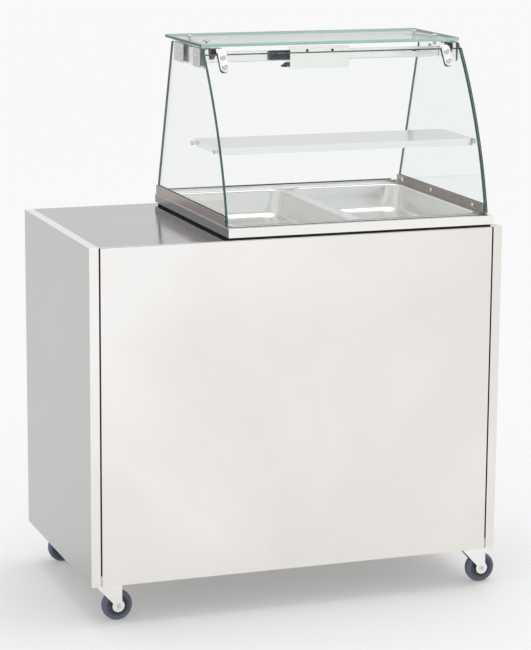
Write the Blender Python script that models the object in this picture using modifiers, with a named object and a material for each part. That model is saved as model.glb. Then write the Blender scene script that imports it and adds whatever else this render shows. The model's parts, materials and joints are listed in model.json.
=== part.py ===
"""Heated food service trolley: a stainless cabinet on four swivel casters, with a glazed display on top.

The cabinet's customer side faces -Y and its sliding doors and controls face +Y.  Every object hangs
from one empty that stands on the floor under the cabinet's centre, so lengths below are cabinet lengths.
"""
import bpy
import bmesh
from math import asin, cos, pi, radians, sin
from mathutils import Matrix, Vector

# Cabinet
CABINET_WIDTH = 1.050
CABINET_DEPTH = 0.600
SKIRT_BOTTOM = 0.100
WORKTOP_TOP = 0.920
SHEET = 0.0012
PANEL_THICKNESS = 0.023
SHADOW_GAP = 0.004
FLOOR_HEIGHT = 0.127
FIT = 0.0004

# Cupboard and its two sliding doors
BULKHEAD_HEIGHT = 0.740
DOOR_WIDTH = 0.515
DOOR_THICKNESS = 0.016
DOOR_BOTTOM = 0.1305
DOOR_TOP = 0.7340
TRACK_FRONT = 0.2545
TRACK_LANE = 0.0186
TRACK_WALL = 0.0018
PULL_WIDTH = 0.032
PULL_HEIGHT = 0.110
PULL_DEPTH = 0.011

# Controls on the rear fascia
CONTROL_HEIGHT = 0.832
KNOB_RADIUS = 0.021
KNOB_X = (-0.160, 0.160)
LAMP_X = 0.060
SWITCH_X = -0.040
GLAND_X = 0.420
GLAND_HEIGHT = 0.785
SWITCH_SIZE = (0.019, 0.0265)

# Display
DISPLAY_CENTRE = 0.159
BASE_WIDTH = 0.686
BASE_FRONT = -0.300
BASE_REAR = 0.285
BASE_GAP = 0.006
BASE_TOP = 0.9475
PAN_SIZE = (0.325, 0.530)
PAN_DEPTH = 0.065
PAN_RIM = 0.010
PAN_REAR = 0.265
DIVIDER_WIDTH = 0.008
RAIL_HEIGHT = 0.0225
RAIL_WALL = 0.0012
RAIL_INSET = 0.003
GLASS = 0.006
GLASS_FOOT = Vector((-0.274, 0.9482))
GLASS_HEAD = Vector((-0.097, 1.3400))
GLASS_RADIUS = 1.000
SIDE_GLASS_TOP = 1.350
SIDE_GLASS_REAR = (0.283, 0.160)
TOP_GLASS = 0.008
TOP_GLASS_Z = 1.355
TOP_GLASS_Y = (-0.080, 0.210)
TOP_GLASS_WIDTH = 0.680
SHELF_Y = (-0.195, 0.000)
SHELF_TOP = 1.125
SHELF_LIP = 0.017
BRACKET_Y = (-0.080, 0.150)
BRACKET_Z = (1.303, 1.353)
BRACKET_FLANGE = 0.044
BAR_Y = (0.028, 0.052)
BAR_Z = (1.308, 1.331)
CLAMP_OFFSET = 0.293
CLAMP_WIDTH = 0.022
HINGE_RADIUS = 0.0045
PIN_RADIUS = 0.002
BOLT_HOLE = 0.0034
BRACKET_SHEET = 0.002
CLAMP_SHEET = 0.0022
CLAMP_LENGTH = 0.050
CLAMP_BOLT_DROPS = (0.012, 0.038)
GLASS_CLEARANCE = 0.0008
HINGE_PLACE = (0.008, 0.008)

# Casters
WHEEL_RADIUS = 0.0375
WHEEL_WIDTH = 0.024
CASTER_TRAIL = 0.030
CASTER_INSET_X = 0.046
CASTER_INSET_Y = 0.050
PLATE_BOTTOM = 0.0970
PLATE_SIZE = (0.078, 0.060)
FORK_GAP = 0.028
FORK_SHEET = 0.0025

HALF_WIDTH = CABINET_WIDTH / 2
HALF_DEPTH = CABINET_DEPTH / 2
INNER_X = HALF_WIDTH - PANEL_THICKNESS
FRONT_X = INNER_X - SHADOW_GAP
RAIL_WIDTH = GLASS + 2 * FIT + 2 * RAIL_WALL
RAIL_X = BASE_WIDTH / 2 - RAIL_INSET
GLASS_X = RAIL_X - RAIL_WALL - FIT
PAN_PITCH = PAN_SIZE[0] + DIVIDER_WIDTH + 2 * FIT
PAN_Y = PAN_REAR - PAN_SIZE[1] / 2
WELL_HALF = (PAN_PITCH / 2 + PAN_SIZE[0] / 2 - PAN_RIM + 0.0055, PAN_SIZE[1] / 2 - PAN_RIM + 0.0050)
OVERHANG_RIGHT = CASTER_TRAIL + WHEEL_RADIUS - CASTER_INSET_X
KNOB_REACH = 0.024

LANE_Y = (TRACK_FRONT + TRACK_WALL, TRACK_FRONT + 2 * TRACK_WALL + TRACK_LANE)

# Turns a flat outline's X and Y into the cabinet's Y and Z, or into its X and Z.
FACING_X = (pi / 2, 0, pi / 2)
FACING_Y = (pi / 2, 0, 0)


def clear_scene():
    for obj in list(bpy.data.objects):
        bpy.data.objects.remove(obj, do_unlink=True)


def new_collection(name):
    collection = bpy.data.collections.new(name)
    bpy.context.scene.collection.children.link(collection)
    return collection


def make_material(name, colour, roughness, metallic, alpha=1.0):
    material = bpy.data.materials.new(name)
    material.use_nodes = True
    shader = material.node_tree.nodes["Principled BSDF"]
    shader.inputs["Base Color"].default_value = (*colour, 1.0)
    shader.inputs["Roughness"].default_value = roughness
    shader.inputs["Metallic"].default_value = metallic
    shader.inputs["Alpha"].default_value = alpha
    return material


clear_scene()
PARTS = new_collection("food_service_trolley")
CUTTERS = new_collection("cutters")

STEEL = make_material("brushed_stainless", (0.72, 0.71, 0.69), 0.32, 1.0)
POLISHED = make_material("polished_stainless", (0.60, 0.60, 0.62), 0.14, 1.0)
ZINC = make_material("bright_zinc", (0.80, 0.81, 0.82), 0.25, 1.0)
CLEAR_GLASS = make_material("clear_glass", (0.80, 0.92, 0.89), 0.03, 0.0, 0.3)
RUBBER = make_material("grey_rubber", (0.10, 0.11, 0.14), 0.70, 0.0)
NYLON = make_material("grey_nylon", (0.32, 0.33, 0.36), 0.50, 0.0)
BLACK = make_material("black_plastic", (0.02, 0.02, 0.022), 0.40, 0.0)
AMBER = make_material("amber_lens", (0.85, 0.35, 0.05), 0.20, 0.0)
FROSTED = make_material("frosted_diffuser", (0.90, 0.90, 0.86), 0.45, 0.0)


def make_root():
    """The empty under the cabinet's centre, moved so that the whole trolley is centred on the origin."""
    root = bpy.data.objects.new("trolley_root", None)
    PARTS.objects.link(root)
    root.location = (-OVERHANG_RIGHT / 2, -KNOB_REACH / 2, 0)
    return root


ROOT = make_root()


def add_object(name, data, material, location=(0, 0, 0), rotation=(0, 0, 0), parent=ROOT):
    obj = bpy.data.objects.new(name, data)
    PARTS.objects.link(obj)
    obj.parent = parent
    obj.location = location
    obj.rotation_euler = rotation
    if material and not data.materials:
        data.materials.append(material)
    return obj


def mesh_from(bm, name, smooth=False):
    mesh = bpy.data.meshes.new(name)
    bm.to_mesh(mesh)
    bm.free()
    if smooth:
        mesh.shade_smooth()
        mesh.set_sharp_from_angle(angle=radians(35))
    return mesh


def cube_bmesh(low, high, pivot):
    """A box between two corners, measured from its pivot."""
    bm = bmesh.new()
    bmesh.ops.create_cube(bm, size=1.0)
    size = [b - a for a, b in zip(low, high)]
    middle = [(a + b) / 2 - p for a, b, p in zip(low, high, pivot)]
    bmesh.ops.scale(bm, vec=size, verts=bm.verts)
    bmesh.ops.translate(bm, vec=middle, verts=bm.verts)
    return bm


def centre_of(low, high):
    return tuple((a + b) / 2 for a, b in zip(low, high))


def block(name, low, high, material, bevel=0.0, pivot=None, parent=ROOT):
    pivot = pivot or centre_of(low, high)
    obj = add_object(name, mesh_from(cube_bmesh(low, high, pivot), name), material, pivot, parent=parent)
    if bevel:
        round_edges(obj, bevel)
    return obj


def round_edges(obj, width, segments=2):
    bevel = obj.modifiers.new("rounded_edges", "BEVEL")
    bevel.width = width
    bevel.segments = segments
    bevel.limit_method = "ANGLE"
    bevel.angle_limit = radians(40)
    return bevel


def give_thickness(obj, thickness):
    solid = obj.modifiers.new("sheet", "SOLIDIFY")
    solid.thickness = thickness
    solid.offset = -1.0
    solid.use_even_offset = True


def tray(name, low, high, open_sides, material, thickness=SHEET, pivot=None):
    """A folded sheet box without the sides named as axis directions, such as (0, 0, 1) for the top."""
    pivot = pivot or centre_of(low, high)
    bm = cube_bmesh(low, high, pivot)
    bm.normal_update()
    doomed = [f for f in bm.faces if any(f.normal.dot(Vector(side)) > 0.9 for side in open_sides)]
    bmesh.ops.delete(bm, geom=doomed, context="FACES_ONLY")
    obj = add_object(name, mesh_from(bm, name), material, pivot)
    give_thickness(obj, thickness)
    return obj


def rimmed_tray(name, size, depth, corner, rim, location, material, pivot=(0, 0, 0), thickness=SHEET):
    """An open pan with rounded corners, whose flat rim runs outward at the height of its location."""
    bm = cube_bmesh((-size[0] / 2, -size[1] / 2, -depth), (size[0] / 2, size[1] / 2, 0), pivot)
    bm.normal_update()
    bmesh.ops.delete(bm, geom=[f for f in bm.faces if f.normal.z > 0.9], context="FACES_ONLY")
    upright = [e for e in bm.edges if abs(e.verts[0].co.z - e.verts[1].co.z) > depth / 2]
    bmesh.ops.bevel(bm, geom=upright, offset=corner, segments=4, affect="EDGES", profile=0.5)
    lowest = min(v.co.z for v in bm.verts)
    floor_edges = [e for e in bm.edges if all(v.co.z < lowest + 1e-5 for v in e.verts)]
    bmesh.ops.bevel(bm, geom=floor_edges, offset=corner / 3, segments=2, affect="EDGES", profile=0.5)
    mouth = [e for e in bm.edges if e.is_boundary]
    grown = bmesh.ops.extrude_edge_only(bm, edges=mouth)["geom"]
    stretch = (1 + 2 * rim / size[0], 1 + 2 * rim / size[1], 1)
    centre = Matrix.Translation(Vector(pivot))
    bmesh.ops.scale(bm, vec=stretch, space=centre, verts=[v for v in grown if isinstance(v, bmesh.types.BMVert)])
    bmesh.ops.recalc_face_normals(bm, faces=bm.faces)
    if min(bm.faces, key=lambda f: f.calc_center_median().z).normal.z > 0:
        bmesh.ops.reverse_faces(bm, faces=bm.faces)
    obj = add_object(name, mesh_from(bm, name, smooth=True), material, location)
    give_thickness(obj, thickness)
    return obj


def outline_curve(name, loops, thickness):
    """A flat plate: the first loop of points is its edge and the others are its holes."""
    curve = bpy.data.curves.new(name, "CURVE")
    curve.dimensions = "2D"
    curve.fill_mode = "BOTH"
    curve.extrude = thickness / 2
    for points in loops:
        spline = curve.splines.new("POLY")
        spline.points.add(len(points) - 1)
        for place, (x, y) in zip(spline.points, points):
            place.co = (x, y, 0, 1)
        spline.use_cyclic_u = True
    return curve


def plate(name, loops, thickness, material, location, rotation, parent=ROOT):
    return add_object(name, outline_curve(name, loops, thickness), material, location, rotation, parent)


def as_mesh(obj):
    """The same object with its curve turned into a welded mesh, so that it can be cut or joined."""
    bpy.context.view_layer.update()
    evaluated = obj.evaluated_get(bpy.context.evaluated_depsgraph_get())
    bm = bmesh.new()
    bm.from_mesh(bpy.data.meshes.new_from_object(evaluated))
    bmesh.ops.remove_doubles(bm, verts=bm.verts, dist=1e-6)
    name, material = obj.name, obj.data.materials[0]
    place, turn, parent = obj.location.copy(), obj.rotation_euler.copy(), obj.parent
    bpy.data.objects.remove(obj, do_unlink=True)
    return add_object(name, mesh_from(bm, name), material, place, turn, parent)


def disc_points(centre, radius, count=12):
    step = 2 * pi / count
    return [(centre[0] + radius * cos(i * step), centre[1] + radius * sin(i * step)) for i in range(count)]


def rounded_rectangle(low, high, radius, segments=4):
    corners = ((high[0] - radius, high[1] - radius, 0), (low[0] + radius, high[1] - radius, 1),
               (low[0] + radius, low[1] + radius, 2), (high[0] - radius, low[1] + radius, 3))
    points = []
    for x, y, quarter in corners:
        for i in range(segments + 1):
            angle = (quarter + i / segments) * pi / 2
            points.append((x + radius * cos(angle), y + radius * sin(angle)))
    return points


def turned_mesh(name, profile, steps=16, closed_ring=False):
    """A profile of (radius, height) points down the outer side, turned about Z and applied."""
    mesh = bpy.data.meshes.new(name + "_profile")
    count = len(profile)
    edges = [(i, i + 1) for i in range(count - 1)]
    if closed_ring:
        edges.append((count - 1, 0))
    mesh.from_pydata([(r, 0, z) for r, z in profile], edges, [])
    guide = bpy.data.objects.new(name + "_guide", mesh)
    PARTS.objects.link(guide)
    screw = guide.modifiers.new("turned", "SCREW")
    screw.steps = steps
    screw.render_steps = steps
    screw.use_merge_vertices = True
    screw.merge_threshold = 0.00001
    bpy.context.view_layer.update()
    evaluated = guide.evaluated_get(bpy.context.evaluated_depsgraph_get())
    solid = bpy.data.meshes.new_from_object(evaluated)
    solid.name = name
    bpy.data.objects.remove(guide, do_unlink=True)
    solid.shade_smooth()
    solid.set_sharp_from_angle(angle=radians(35))
    return solid


def turned(name, profile, material, location, rotation=(0, 0, 0), parent=ROOT, steps=16, closed_ring=False):
    mesh = turned_mesh(name, profile, steps, closed_ring)
    return add_object(name, mesh, material, location, rotation, parent)


def join(obj, tool, operation="UNION"):
    """Joins or intersects an object with a tool, which is then removed."""
    boolean = obj.modifiers.new(operation.lower(), "BOOLEAN")
    boolean.operation = operation
    boolean.solver = "EXACT"
    boolean.object = tool
    flatten(obj)
    bpy.data.objects.remove(tool, do_unlink=True)
    return obj


def flatten(obj):
    """Applies the object's modifiers."""
    bpy.context.view_layer.update()
    evaluated = obj.evaluated_get(bpy.context.evaluated_depsgraph_get())
    mesh = bpy.data.meshes.new_from_object(evaluated)
    obj.modifiers.clear()
    obj.data = mesh
    return obj


def cutter_box(low, high):
    obj = bpy.data.objects.new("cutter_box", mesh_from(cube_bmesh(low, high, (0, 0, 0)), "cutter_box"))
    return hide_cutter(obj)


def cutter_pin(centre, radius, length, axis):
    """A cylinder along X, Y or Z (0, 1 or 2) that bores a hole."""
    bm = bmesh.new()
    bmesh.ops.create_cone(bm, cap_ends=True, segments=12, radius1=radius, radius2=radius, depth=length)
    turn = (Matrix.Rotation(pi / 2, 4, "Y"), Matrix.Rotation(pi / 2, 4, "X"), Matrix.Identity(4))[axis]
    obj = bpy.data.objects.new("cutter_pin", mesh_from(bm, "cutter_pin"))
    hide_cutter(obj)
    obj.matrix_local = Matrix.Translation(Vector(centre)) @ turn
    return obj


def hide_cutter(obj):
    CUTTERS.objects.link(obj)
    obj.parent = ROOT
    obj.hide_render = True
    obj.display_type = "WIRE"
    return obj


def cut(obj, *cutters):
    for cutter in cutters:
        boolean = obj.modifiers.new("cut", "BOOLEAN")
        boolean.operation = "DIFFERENCE"
        boolean.solver = "EXACT"
        boolean.object = cutter


# ---------------------------------------------------------------- cabinet

def side_panels():
    """Double-skinned folded trays, open on the inside."""
    for side, name in ((-1, "left_side_panel"), (1, "right_side_panel")):
        xs = sorted((side * HALF_WIDTH, side * INNER_X))
        tray(name, (xs[0], -HALF_DEPTH, SKIRT_BOTTOM), (xs[1], HALF_DEPTH, WORKTOP_TOP), [(-side, 0, 0)], STEEL)


def inner_liners():
    """The cupboard's flat inner side walls, which close the side panels."""
    outer = INNER_X - 0.0008
    for name, side in (("left_liner", -1), ("right_liner", 1)):
        xs = sorted((side * outer, side * (outer - SHEET)))
        block(name, (xs[0], -0.2790, FLOOR_HEIGHT + 0.0010), (xs[1], 0.2980, 0.9178), STEEL)


def front_panel():
    """The customer-side skin: its side and top folds stop above the floor pan."""
    low = (-FRONT_X, -HALF_DEPTH, SKIRT_BOTTOM)
    high = (FRONT_X, -HALF_DEPTH + 0.020, WORKTOP_TOP - 0.0018)
    panel = tray("front_panel", low, high, [(0, 1, 0), (0, 0, -1)], STEEL)
    relief = cutter_box((-0.6, -HALF_DEPTH + SHEET + 0.0002, 0.05), (0.6, -0.25, FLOOR_HEIGHT + 0.0015))
    cut(panel, relief)


def chassis_tray():
    """The bottom tray that the casters are bolted to; its front wall shows behind the shadow gaps."""
    y = HALF_DEPTH - SHEET - 0.0005
    low = (-INNER_X + FIT, -y, SKIRT_BOTTOM)
    tray("chassis_tray", low, (INNER_X - FIT, y, FLOOR_HEIGHT - SHEET - 0.0003), [(0, 0, 1)], STEEL, 0.0015)


def cupboard_floor():
    """The sheet that closes the chassis tray."""
    y = HALF_DEPTH - SHEET - 0.0005
    low = (-INNER_X + FIT, -y, FLOOR_HEIGHT - SHEET)
    block("cupboard_floor", low, (INNER_X - FIT, y, FLOOR_HEIGHT), STEEL)


def worktop():
    """The mirror-bright top sheet between the side panels, cut out over the well."""
    low = (-INNER_X + FIT, -HALF_DEPTH, WORKTOP_TOP - 0.0015)
    sheet = block("worktop", low, (INNER_X - FIT, HALF_DEPTH, WORKTOP_TOP), POLISHED)
    x, y = WELL_HALF
    well = cutter_box((DISPLAY_CENTRE - x, PAN_Y - y, 0.90), (DISPLAY_CENTRE + x, PAN_Y + y, 0.94))
    cut(sheet, well)


def bulkhead():
    """The sheet between the cupboard and the heated well above it."""
    x = INNER_X - 0.0024
    block("bulkhead", (-x, -0.2785, BULKHEAD_HEIGHT), (x, 0.2985, BULKHEAD_HEIGHT + SHEET), STEEL)


def cupboard_shelf():
    x = INNER_X - 0.0024
    tray("cupboard_shelf", (-x, -0.2780, 0.405), (x, 0.2480, 0.430), [(0, 0, -1)], STEEL)


def track_profile(depth):
    """A comb with three walls and two lanes, in Y and Z from its base."""
    points = [(0, -0.002)]
    end = 3 * TRACK_WALL + 2 * TRACK_LANE
    points.append((end, -0.002))
    for lane in (1, 0):
        wall = (lane + 1) * (TRACK_WALL + TRACK_LANE)
        points += [(wall + TRACK_WALL, depth), (wall, depth), (wall, 0), (wall - TRACK_LANE, 0)]
    points += [(TRACK_WALL, depth), (0, depth)]
    return points


def door_tracks():
    """Extruded two-lane tracks below and above the doors."""
    length = 2 * (INNER_X - 0.0024)
    lower = track_profile(0.006)
    plate("bottom_track", [lower], length, STEEL, (0, TRACK_FRONT, FLOOR_HEIGHT + 0.0023), FACING_X)
    upper = [(y, -z) for y, z in reversed(track_profile(0.009))]
    plate("top_track", [upper], length, STEEL, (0, TRACK_FRONT, BULKHEAD_HEIGHT - 0.0023), FACING_X)


def sliding_doors():
    """Two folded doors that pass each other: the left one runs in the outer lane."""
    outer_edge = INNER_X - 0.0034
    for name, side, lane in (("left", -1, 1), ("right", 1, 0)):
        rear = LANE_Y[lane] + TRACK_LANE - (TRACK_LANE - DOOR_THICKNESS) / 2
        xs = sorted((side * outer_edge, side * (outer_edge - DOOR_WIDTH)))
        low = (xs[0], rear - DOOR_THICKNESS, DOOR_BOTTOM)
        door = tray("door_" + name, low, (xs[1], rear, DOOR_TOP), [(0, -1, 0)], STEEL, 0.0010)
        pull_x = side * (outer_edge - 0.040)
        pull_z = (DOOR_BOTTOM + DOOR_TOP) / 2
        half = (PULL_WIDTH / 2 + 0.0006, PULL_HEIGHT / 2 + 0.0006)
        window = cutter_box((pull_x - half[0], rear - 0.006, pull_z - half[1]),
                            (pull_x + half[0], rear + 0.004, pull_z + half[1]))
        cut(door, window)
        door_pull("pull_" + name, (pull_x, rear + 0.0003, pull_z))


def door_pull(name, location):
    """A pressed cup, open to the rear, with a thin rim that lies on the door."""
    cup = rimmed_tray(name, (PULL_WIDTH, PULL_HEIGHT), PULL_DEPTH, 0.006, 0.0035, location, STEEL, thickness=0.0006)
    cup.rotation_euler = (-pi / 2, 0, 0)


def control_panel():
    """The rear fascia above the doors, with its holes for spindles, the switch, the lamp and the cable gland."""
    low = (-INNER_X + 0.0024, HALF_DEPTH - 0.020, BULKHEAD_HEIGHT + SHEET + FIT)
    high = (INNER_X - 0.0024, HALF_DEPTH, WORKTOP_TOP - 0.0018)
    panel = tray("control_panel", low, high, [(0, -1, 0)], STEEL)
    for x in KNOB_X:
        cut(panel, cutter_pin((x, HALF_DEPTH, CONTROL_HEIGHT), 0.0040, 0.02, 1))
    cut(panel, cutter_pin((LAMP_X, HALF_DEPTH, CONTROL_HEIGHT), 0.0062, 0.02, 1))
    cut(panel, cutter_pin((GLAND_X, HALF_DEPTH, GLAND_HEIGHT), 0.0085, 0.02, 1))
    half = [s / 2 + FIT for s in SWITCH_SIZE]
    cut(panel, cutter_box((SWITCH_X - half[0], HALF_DEPTH - 0.01, CONTROL_HEIGHT - half[1]),
                          (SWITCH_X + half[0], HALF_DEPTH + 0.01, CONTROL_HEIGHT + half[1])))


def thermostat_knobs():
    """Skirted knobs on spindles; each turns about the spindle that passes through the fascia."""
    reach = KNOB_REACH
    profile = [(0, reach), (0.0125, reach), (0.0145, reach - 0.002), (0.0160, 0.0060), (KNOB_RADIUS, 0.0045),
               (KNOB_RADIUS, 0.0008), (0.0034, 0.0008), (0.0034, -0.0150), (0, -0.0150)]
    mesh = turned_mesh("thermostat_knob", profile, 20)
    for name, x in zip(("knob_well", "knob_cupboard"), KNOB_X):
        add_object(name, mesh, BLACK, (x, HALF_DEPTH, CONTROL_HEIGHT), (-pi / 2, 0, 0))


def rocker_switch():
    """The mains rocker in the fascia's square hole, which tips about X through its middle."""
    h = SWITCH_SIZE[1] / 2
    crown = 0.0052
    section = [(-h + 0.0030, -0.006), (h - 0.0030, -0.006), (h - 0.0018, 0.001), (h - 0.0024, crown - 0.001),
               (0, 0.0022), (-h + 0.0024, crown), (-h + 0.0018, 0.001)]
    points = [(y, z) for z, y in reversed(section)]
    place = (SWITCH_X, HALF_DEPTH, CONTROL_HEIGHT)
    plate("rocker_switch", [points], SWITCH_SIZE[0] - 0.001, BLACK, place, FACING_X)


def indicator_lamp():
    """The amber lens, whose flange lies on the fascia."""
    profile = [(0, 0.0060), (0.0035, 0.0055), (0.0055, 0.0035), (0.0060, 0.0016), (0.0078, 0.0014),
               (0.0078, 0.0004), (0.0056, 0.0004), (0.0056, -0.0140), (0, -0.0140)]
    turned("indicator_lamp", profile, AMBER, (LAMP_X, HALF_DEPTH, CONTROL_HEIGHT), (-pi / 2, 0, 0))


def cable_gland():
    """The supply cable's gland, closed by its seal."""
    profile = [(0, 0.0150), (0.0055, 0.0150), (0.0085, 0.0120), (0.0100, 0.0040), (0.0125, 0.0036),
               (0.0125, 0.0005), (0.0080, 0.0005), (0.0080, -0.0100), (0, -0.0100)]
    turned("cable_gland", profile, BLACK, (GLAND_X, HALF_DEPTH, GLAND_HEIGHT), (-pi / 2, 0, 0))


# ---------------------------------------------------------------- display

def well_tank():
    """The heated well that hangs in the worktop's cut-out."""
    size = (2 * WELL_HALF[0] - 0.003, 2 * WELL_HALF[1] - 0.003)
    rimmed_tray("well_tank", size, 0.115, 0.012, 0.005, (DISPLAY_CENTRE, PAN_Y, WORKTOP_TOP + 0.0003), STEEL)


def heating_element():
    """A sheathed heater bent to and fro under the well, with both cold ends turned to the rear."""
    curve = bpy.data.curves.new("heating_element", "CURVE")
    curve.dimensions = "3D"
    curve.bevel_depth = 0.0042
    curve.bevel_resolution = 1
    curve.use_fill_caps = True
    runs, pitch, half = 4, 0.110, 0.200
    points = []
    for run in range(runs):
        x = (run - (runs - 1) / 2) * pitch
        direction = 1 if run % 2 else -1
        start = half if run else half + 0.045
        end = half if run < runs - 1 else half + 0.045
        points += [(x, -direction * start), (x, direction * end)]
        if run < runs - 1:
            points += [(x + pitch / 2 * (1 - cos(a)), direction * (half + pitch / 2 * sin(a)))
                       for a in (pi / 4, pi / 2, 3 * pi / 4)]
    spline = curve.splines.new("POLY")
    spline.points.add(len(points) - 1)
    for place, (x, y) in zip(spline.points, points):
        place.co = (x, y * 0.80, 0, 1)
    add_object("heating_element", curve, ZINC, (DISPLAY_CENTRE, PAN_Y, 0.7935))


def display_base():
    """The display's bottom frame with two openings for the pans and a narrow lip along its back."""
    half = BASE_WIDTH / 2
    low = (DISPLAY_CENTRE - half, BASE_FRONT, WORKTOP_TOP + BASE_GAP)
    base = tray("display_base", low, (DISPLAY_CENTRE + half, BASE_REAR, BASE_TOP), [(0, 0, -1)], STEEL)
    end = RAIL_X - RAIL_WIDTH - 0.002
    lip = block("rear_lip", (DISPLAY_CENTRE - end, BASE_REAR - 0.0045, BASE_TOP - 0.0006),
                (DISPLAY_CENTRE + end, BASE_REAR - 0.0015, BASE_TOP + 0.0085), STEEL)
    join(base, lip)
    x, y = (s / 2 - PAN_RIM + 0.002 for s in PAN_SIZE)
    for middle in (DISPLAY_CENTRE - PAN_PITCH / 2, DISPLAY_CENTRE + PAN_PITCH / 2):
        cut(base, cutter_box((middle - x, PAN_Y - y, 0.94), (middle + x, PAN_Y + y, 0.96)))


def display_plinth():
    """The dark spacer ring between the worktop and the display base."""
    low = (DISPLAY_CENTRE - BASE_WIDTH / 2 + 0.006, BASE_FRONT + 0.006)
    high = (DISPLAY_CENTRE + BASE_WIDTH / 2 - 0.006, BASE_REAR - 0.006)
    wall = 0.006
    edge = [low, (high[0], low[1]), high, (low[0], high[1])]
    inner = [(low[0] + wall, low[1] + wall), (low[0] + wall, high[1] - wall),
             (high[0] - wall, high[1] - wall), (high[0] - wall, low[1] + wall)]
    top = BASE_TOP - SHEET - 0.0003
    bottom = WORKTOP_TOP + 0.0003
    plate("display_plinth", [edge, inner], top - bottom, BLACK, (0, 0, (top + bottom) / 2), (0, 0, 0))


def pans():
    """Two full-size gastronorm pans that lift out of the well."""
    size = (PAN_SIZE[0] - 2 * PAN_RIM, PAN_SIZE[1] - 2 * PAN_RIM)
    for name, side in (("pan_left", -1), ("pan_right", 1)):
        place = (DISPLAY_CENTRE + side * PAN_PITCH / 2, PAN_Y, BASE_TOP + 0.0003)
        rimmed_tray(name, size, PAN_DEPTH, 0.034, PAN_RIM, place, STEEL, thickness=0.0009)


def glass_rails():
    """The channels that the side glasses stand in."""
    width, wall, height = RAIL_WIDTH, RAIL_WALL, RAIL_HEIGHT
    section = [(0, 0), (width, 0), (width, height), (width - wall, height), (width - wall, 0.002), (wall, 0.002),
               (wall, height), (0, height)]
    front = GLASS_FOOT.x + 0.014
    for name, start in (("glass_rail_left", -RAIL_X), ("glass_rail_right", RAIL_X - RAIL_WIDTH)):
        place = (DISPLAY_CENTRE + start, (front + BASE_REAR) / 2, BASE_TOP + 0.0003)
        plate(name, [section], BASE_REAR - front, STEEL, place, FACING_Y)


def arc_centre():
    """The centre of the front glass's outer curve, in Y and Z."""
    chord = GLASS_HEAD - GLASS_FOOT
    height = (GLASS_RADIUS ** 2 - (chord.length / 2) ** 2) ** 0.5
    normal = Vector((chord.y, -chord.x)).normalized()
    return (GLASS_HEAD + GLASS_FOOT) / 2 + normal * height


ARC_CENTRE = arc_centre()


def arc_points(inset, low, high, count):
    """Points at even angles, this far inside the front glass's outer face, between two heights."""
    radius = GLASS_RADIUS - inset
    start, end = (asin((z - ARC_CENTRE.y) / radius) for z in (low, high))
    angles = [start + (end - start) * i / (count - 1) for i in range(count)]
    return [(ARC_CENTRE.x - radius * cos(a), ARC_CENTRE.y + radius * sin(a)) for a in angles]


def clamp_matrix():
    """A frame at the front glass's head: X across, -Y out of the glass and Z up along the clamp's chord."""
    lean = asin((GLASS_HEAD.y - ARC_CENTRE.y) / GLASS_RADIUS) - CLAMP_LENGTH / 2 / GLASS_RADIUS
    place = Matrix.Translation((DISPLAY_CENTRE, GLASS_HEAD.x, GLASS_HEAD.y))
    return place @ Matrix.Rotation(-lean, 4, "X")


def hinge_axis():
    """The front glass's hinge line, in Y and Z: above its head and behind its face."""
    point = clamp_matrix() @ Vector((0, *HINGE_PLACE))
    return point.y, point.z


def clamp_bolt_places():
    """Matrices of the clamp bolts' heads, whose Z points out of the glass."""
    turn = Matrix.Rotation(pi / 2, 4, "X")
    outer = -GLASS_CLEARANCE - CLAMP_SHEET - 0.0003
    return [clamp_matrix() @ Matrix.Translation((side * CLAMP_OFFSET, outer, -drop)) @ turn
            for side in (-1, 1) for drop in CLAMP_BOLT_DROPS]


def clamp_bolt_cutters():
    cutters = []
    for matrix in clamp_bolt_places():
        cutter = cutter_pin((0, 0, 0), BOLT_HOLE, 0.05, 2)
        cutter.matrix_local = matrix
        cutters.append(cutter)
    return cutters


def front_glass():
    """The bowed front pane, which hangs from the hinges under the top glass and lifts outward."""
    y, z = hinge_axis()
    outer = arc_points(0, GLASS_FOOT.y, GLASS_HEAD.y, 13)
    inner = arc_points(GLASS, GLASS_FOOT.y, GLASS_HEAD.y - 0.0035, 13)
    points = [(a - y, b - z) for a, b in outer + inner[::-1]]
    pane = plate("front_glass", [points], 2 * GLASS_X, CLEAR_GLASS, (DISPLAY_CENTRE, y, z), FACING_X)
    cut(as_mesh(pane), *clamp_bolt_cutters())


def front_clamps():
    """Hairpin clamps over the front glass's head, each rolled into a knuckle round its hinge pin."""
    outer, inner = -GLASS_CLEARANCE, GLASS + GLASS_CLEARANCE
    sheet = CLAMP_SHEET
    across, along = HINGE_PLACE
    section = [(outer - sheet, -CLAMP_LENGTH), (outer, -CLAMP_LENGTH), (outer, 0.0012), (inner, 0.0012),
               (inner, -CLAMP_LENGTH), (inner + sheet, -CLAMP_LENGTH)]
    for degrees in range(-80, 230, 30):
        section.append((across + HINGE_RADIUS * cos(radians(degrees)), along + HINGE_RADIUS * sin(radians(degrees))))
    section += [(0.0036, 0.0034), (outer - sheet, 0.0034)]
    eye = disc_points(HINGE_PLACE, PIN_RADIUS + 0.0003, 10)
    facing = (clamp_matrix() @ Matrix.Rotation(pi / 2, 4, "Z") @ Matrix.Rotation(pi / 2, 4, "X")).to_euler()
    for name, side in (("front_clamp_left", -1), ("front_clamp_right", 1)):
        place = clamp_matrix() @ Vector((side * CLAMP_OFFSET, 0, 0))
        clamp = as_mesh(plate(name, [section, eye], CLAMP_WIDTH, ZINC, place, facing))
        cut(clamp, *clamp_bolt_cutters())


def shelf_bolt_spots():
    return [(y, SHELF_TOP - SHELF_LIP / 2) for y in (SHELF_Y[0] + 0.012, SHELF_Y[1] - 0.012)]


def bracket_bolt_spots():
    return [(y, (BRACKET_Z[0] + BRACKET_Z[1]) / 2) for y in (BRACKET_Y[0] + 0.035, BRACKET_Y[1] - 0.065)]


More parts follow.
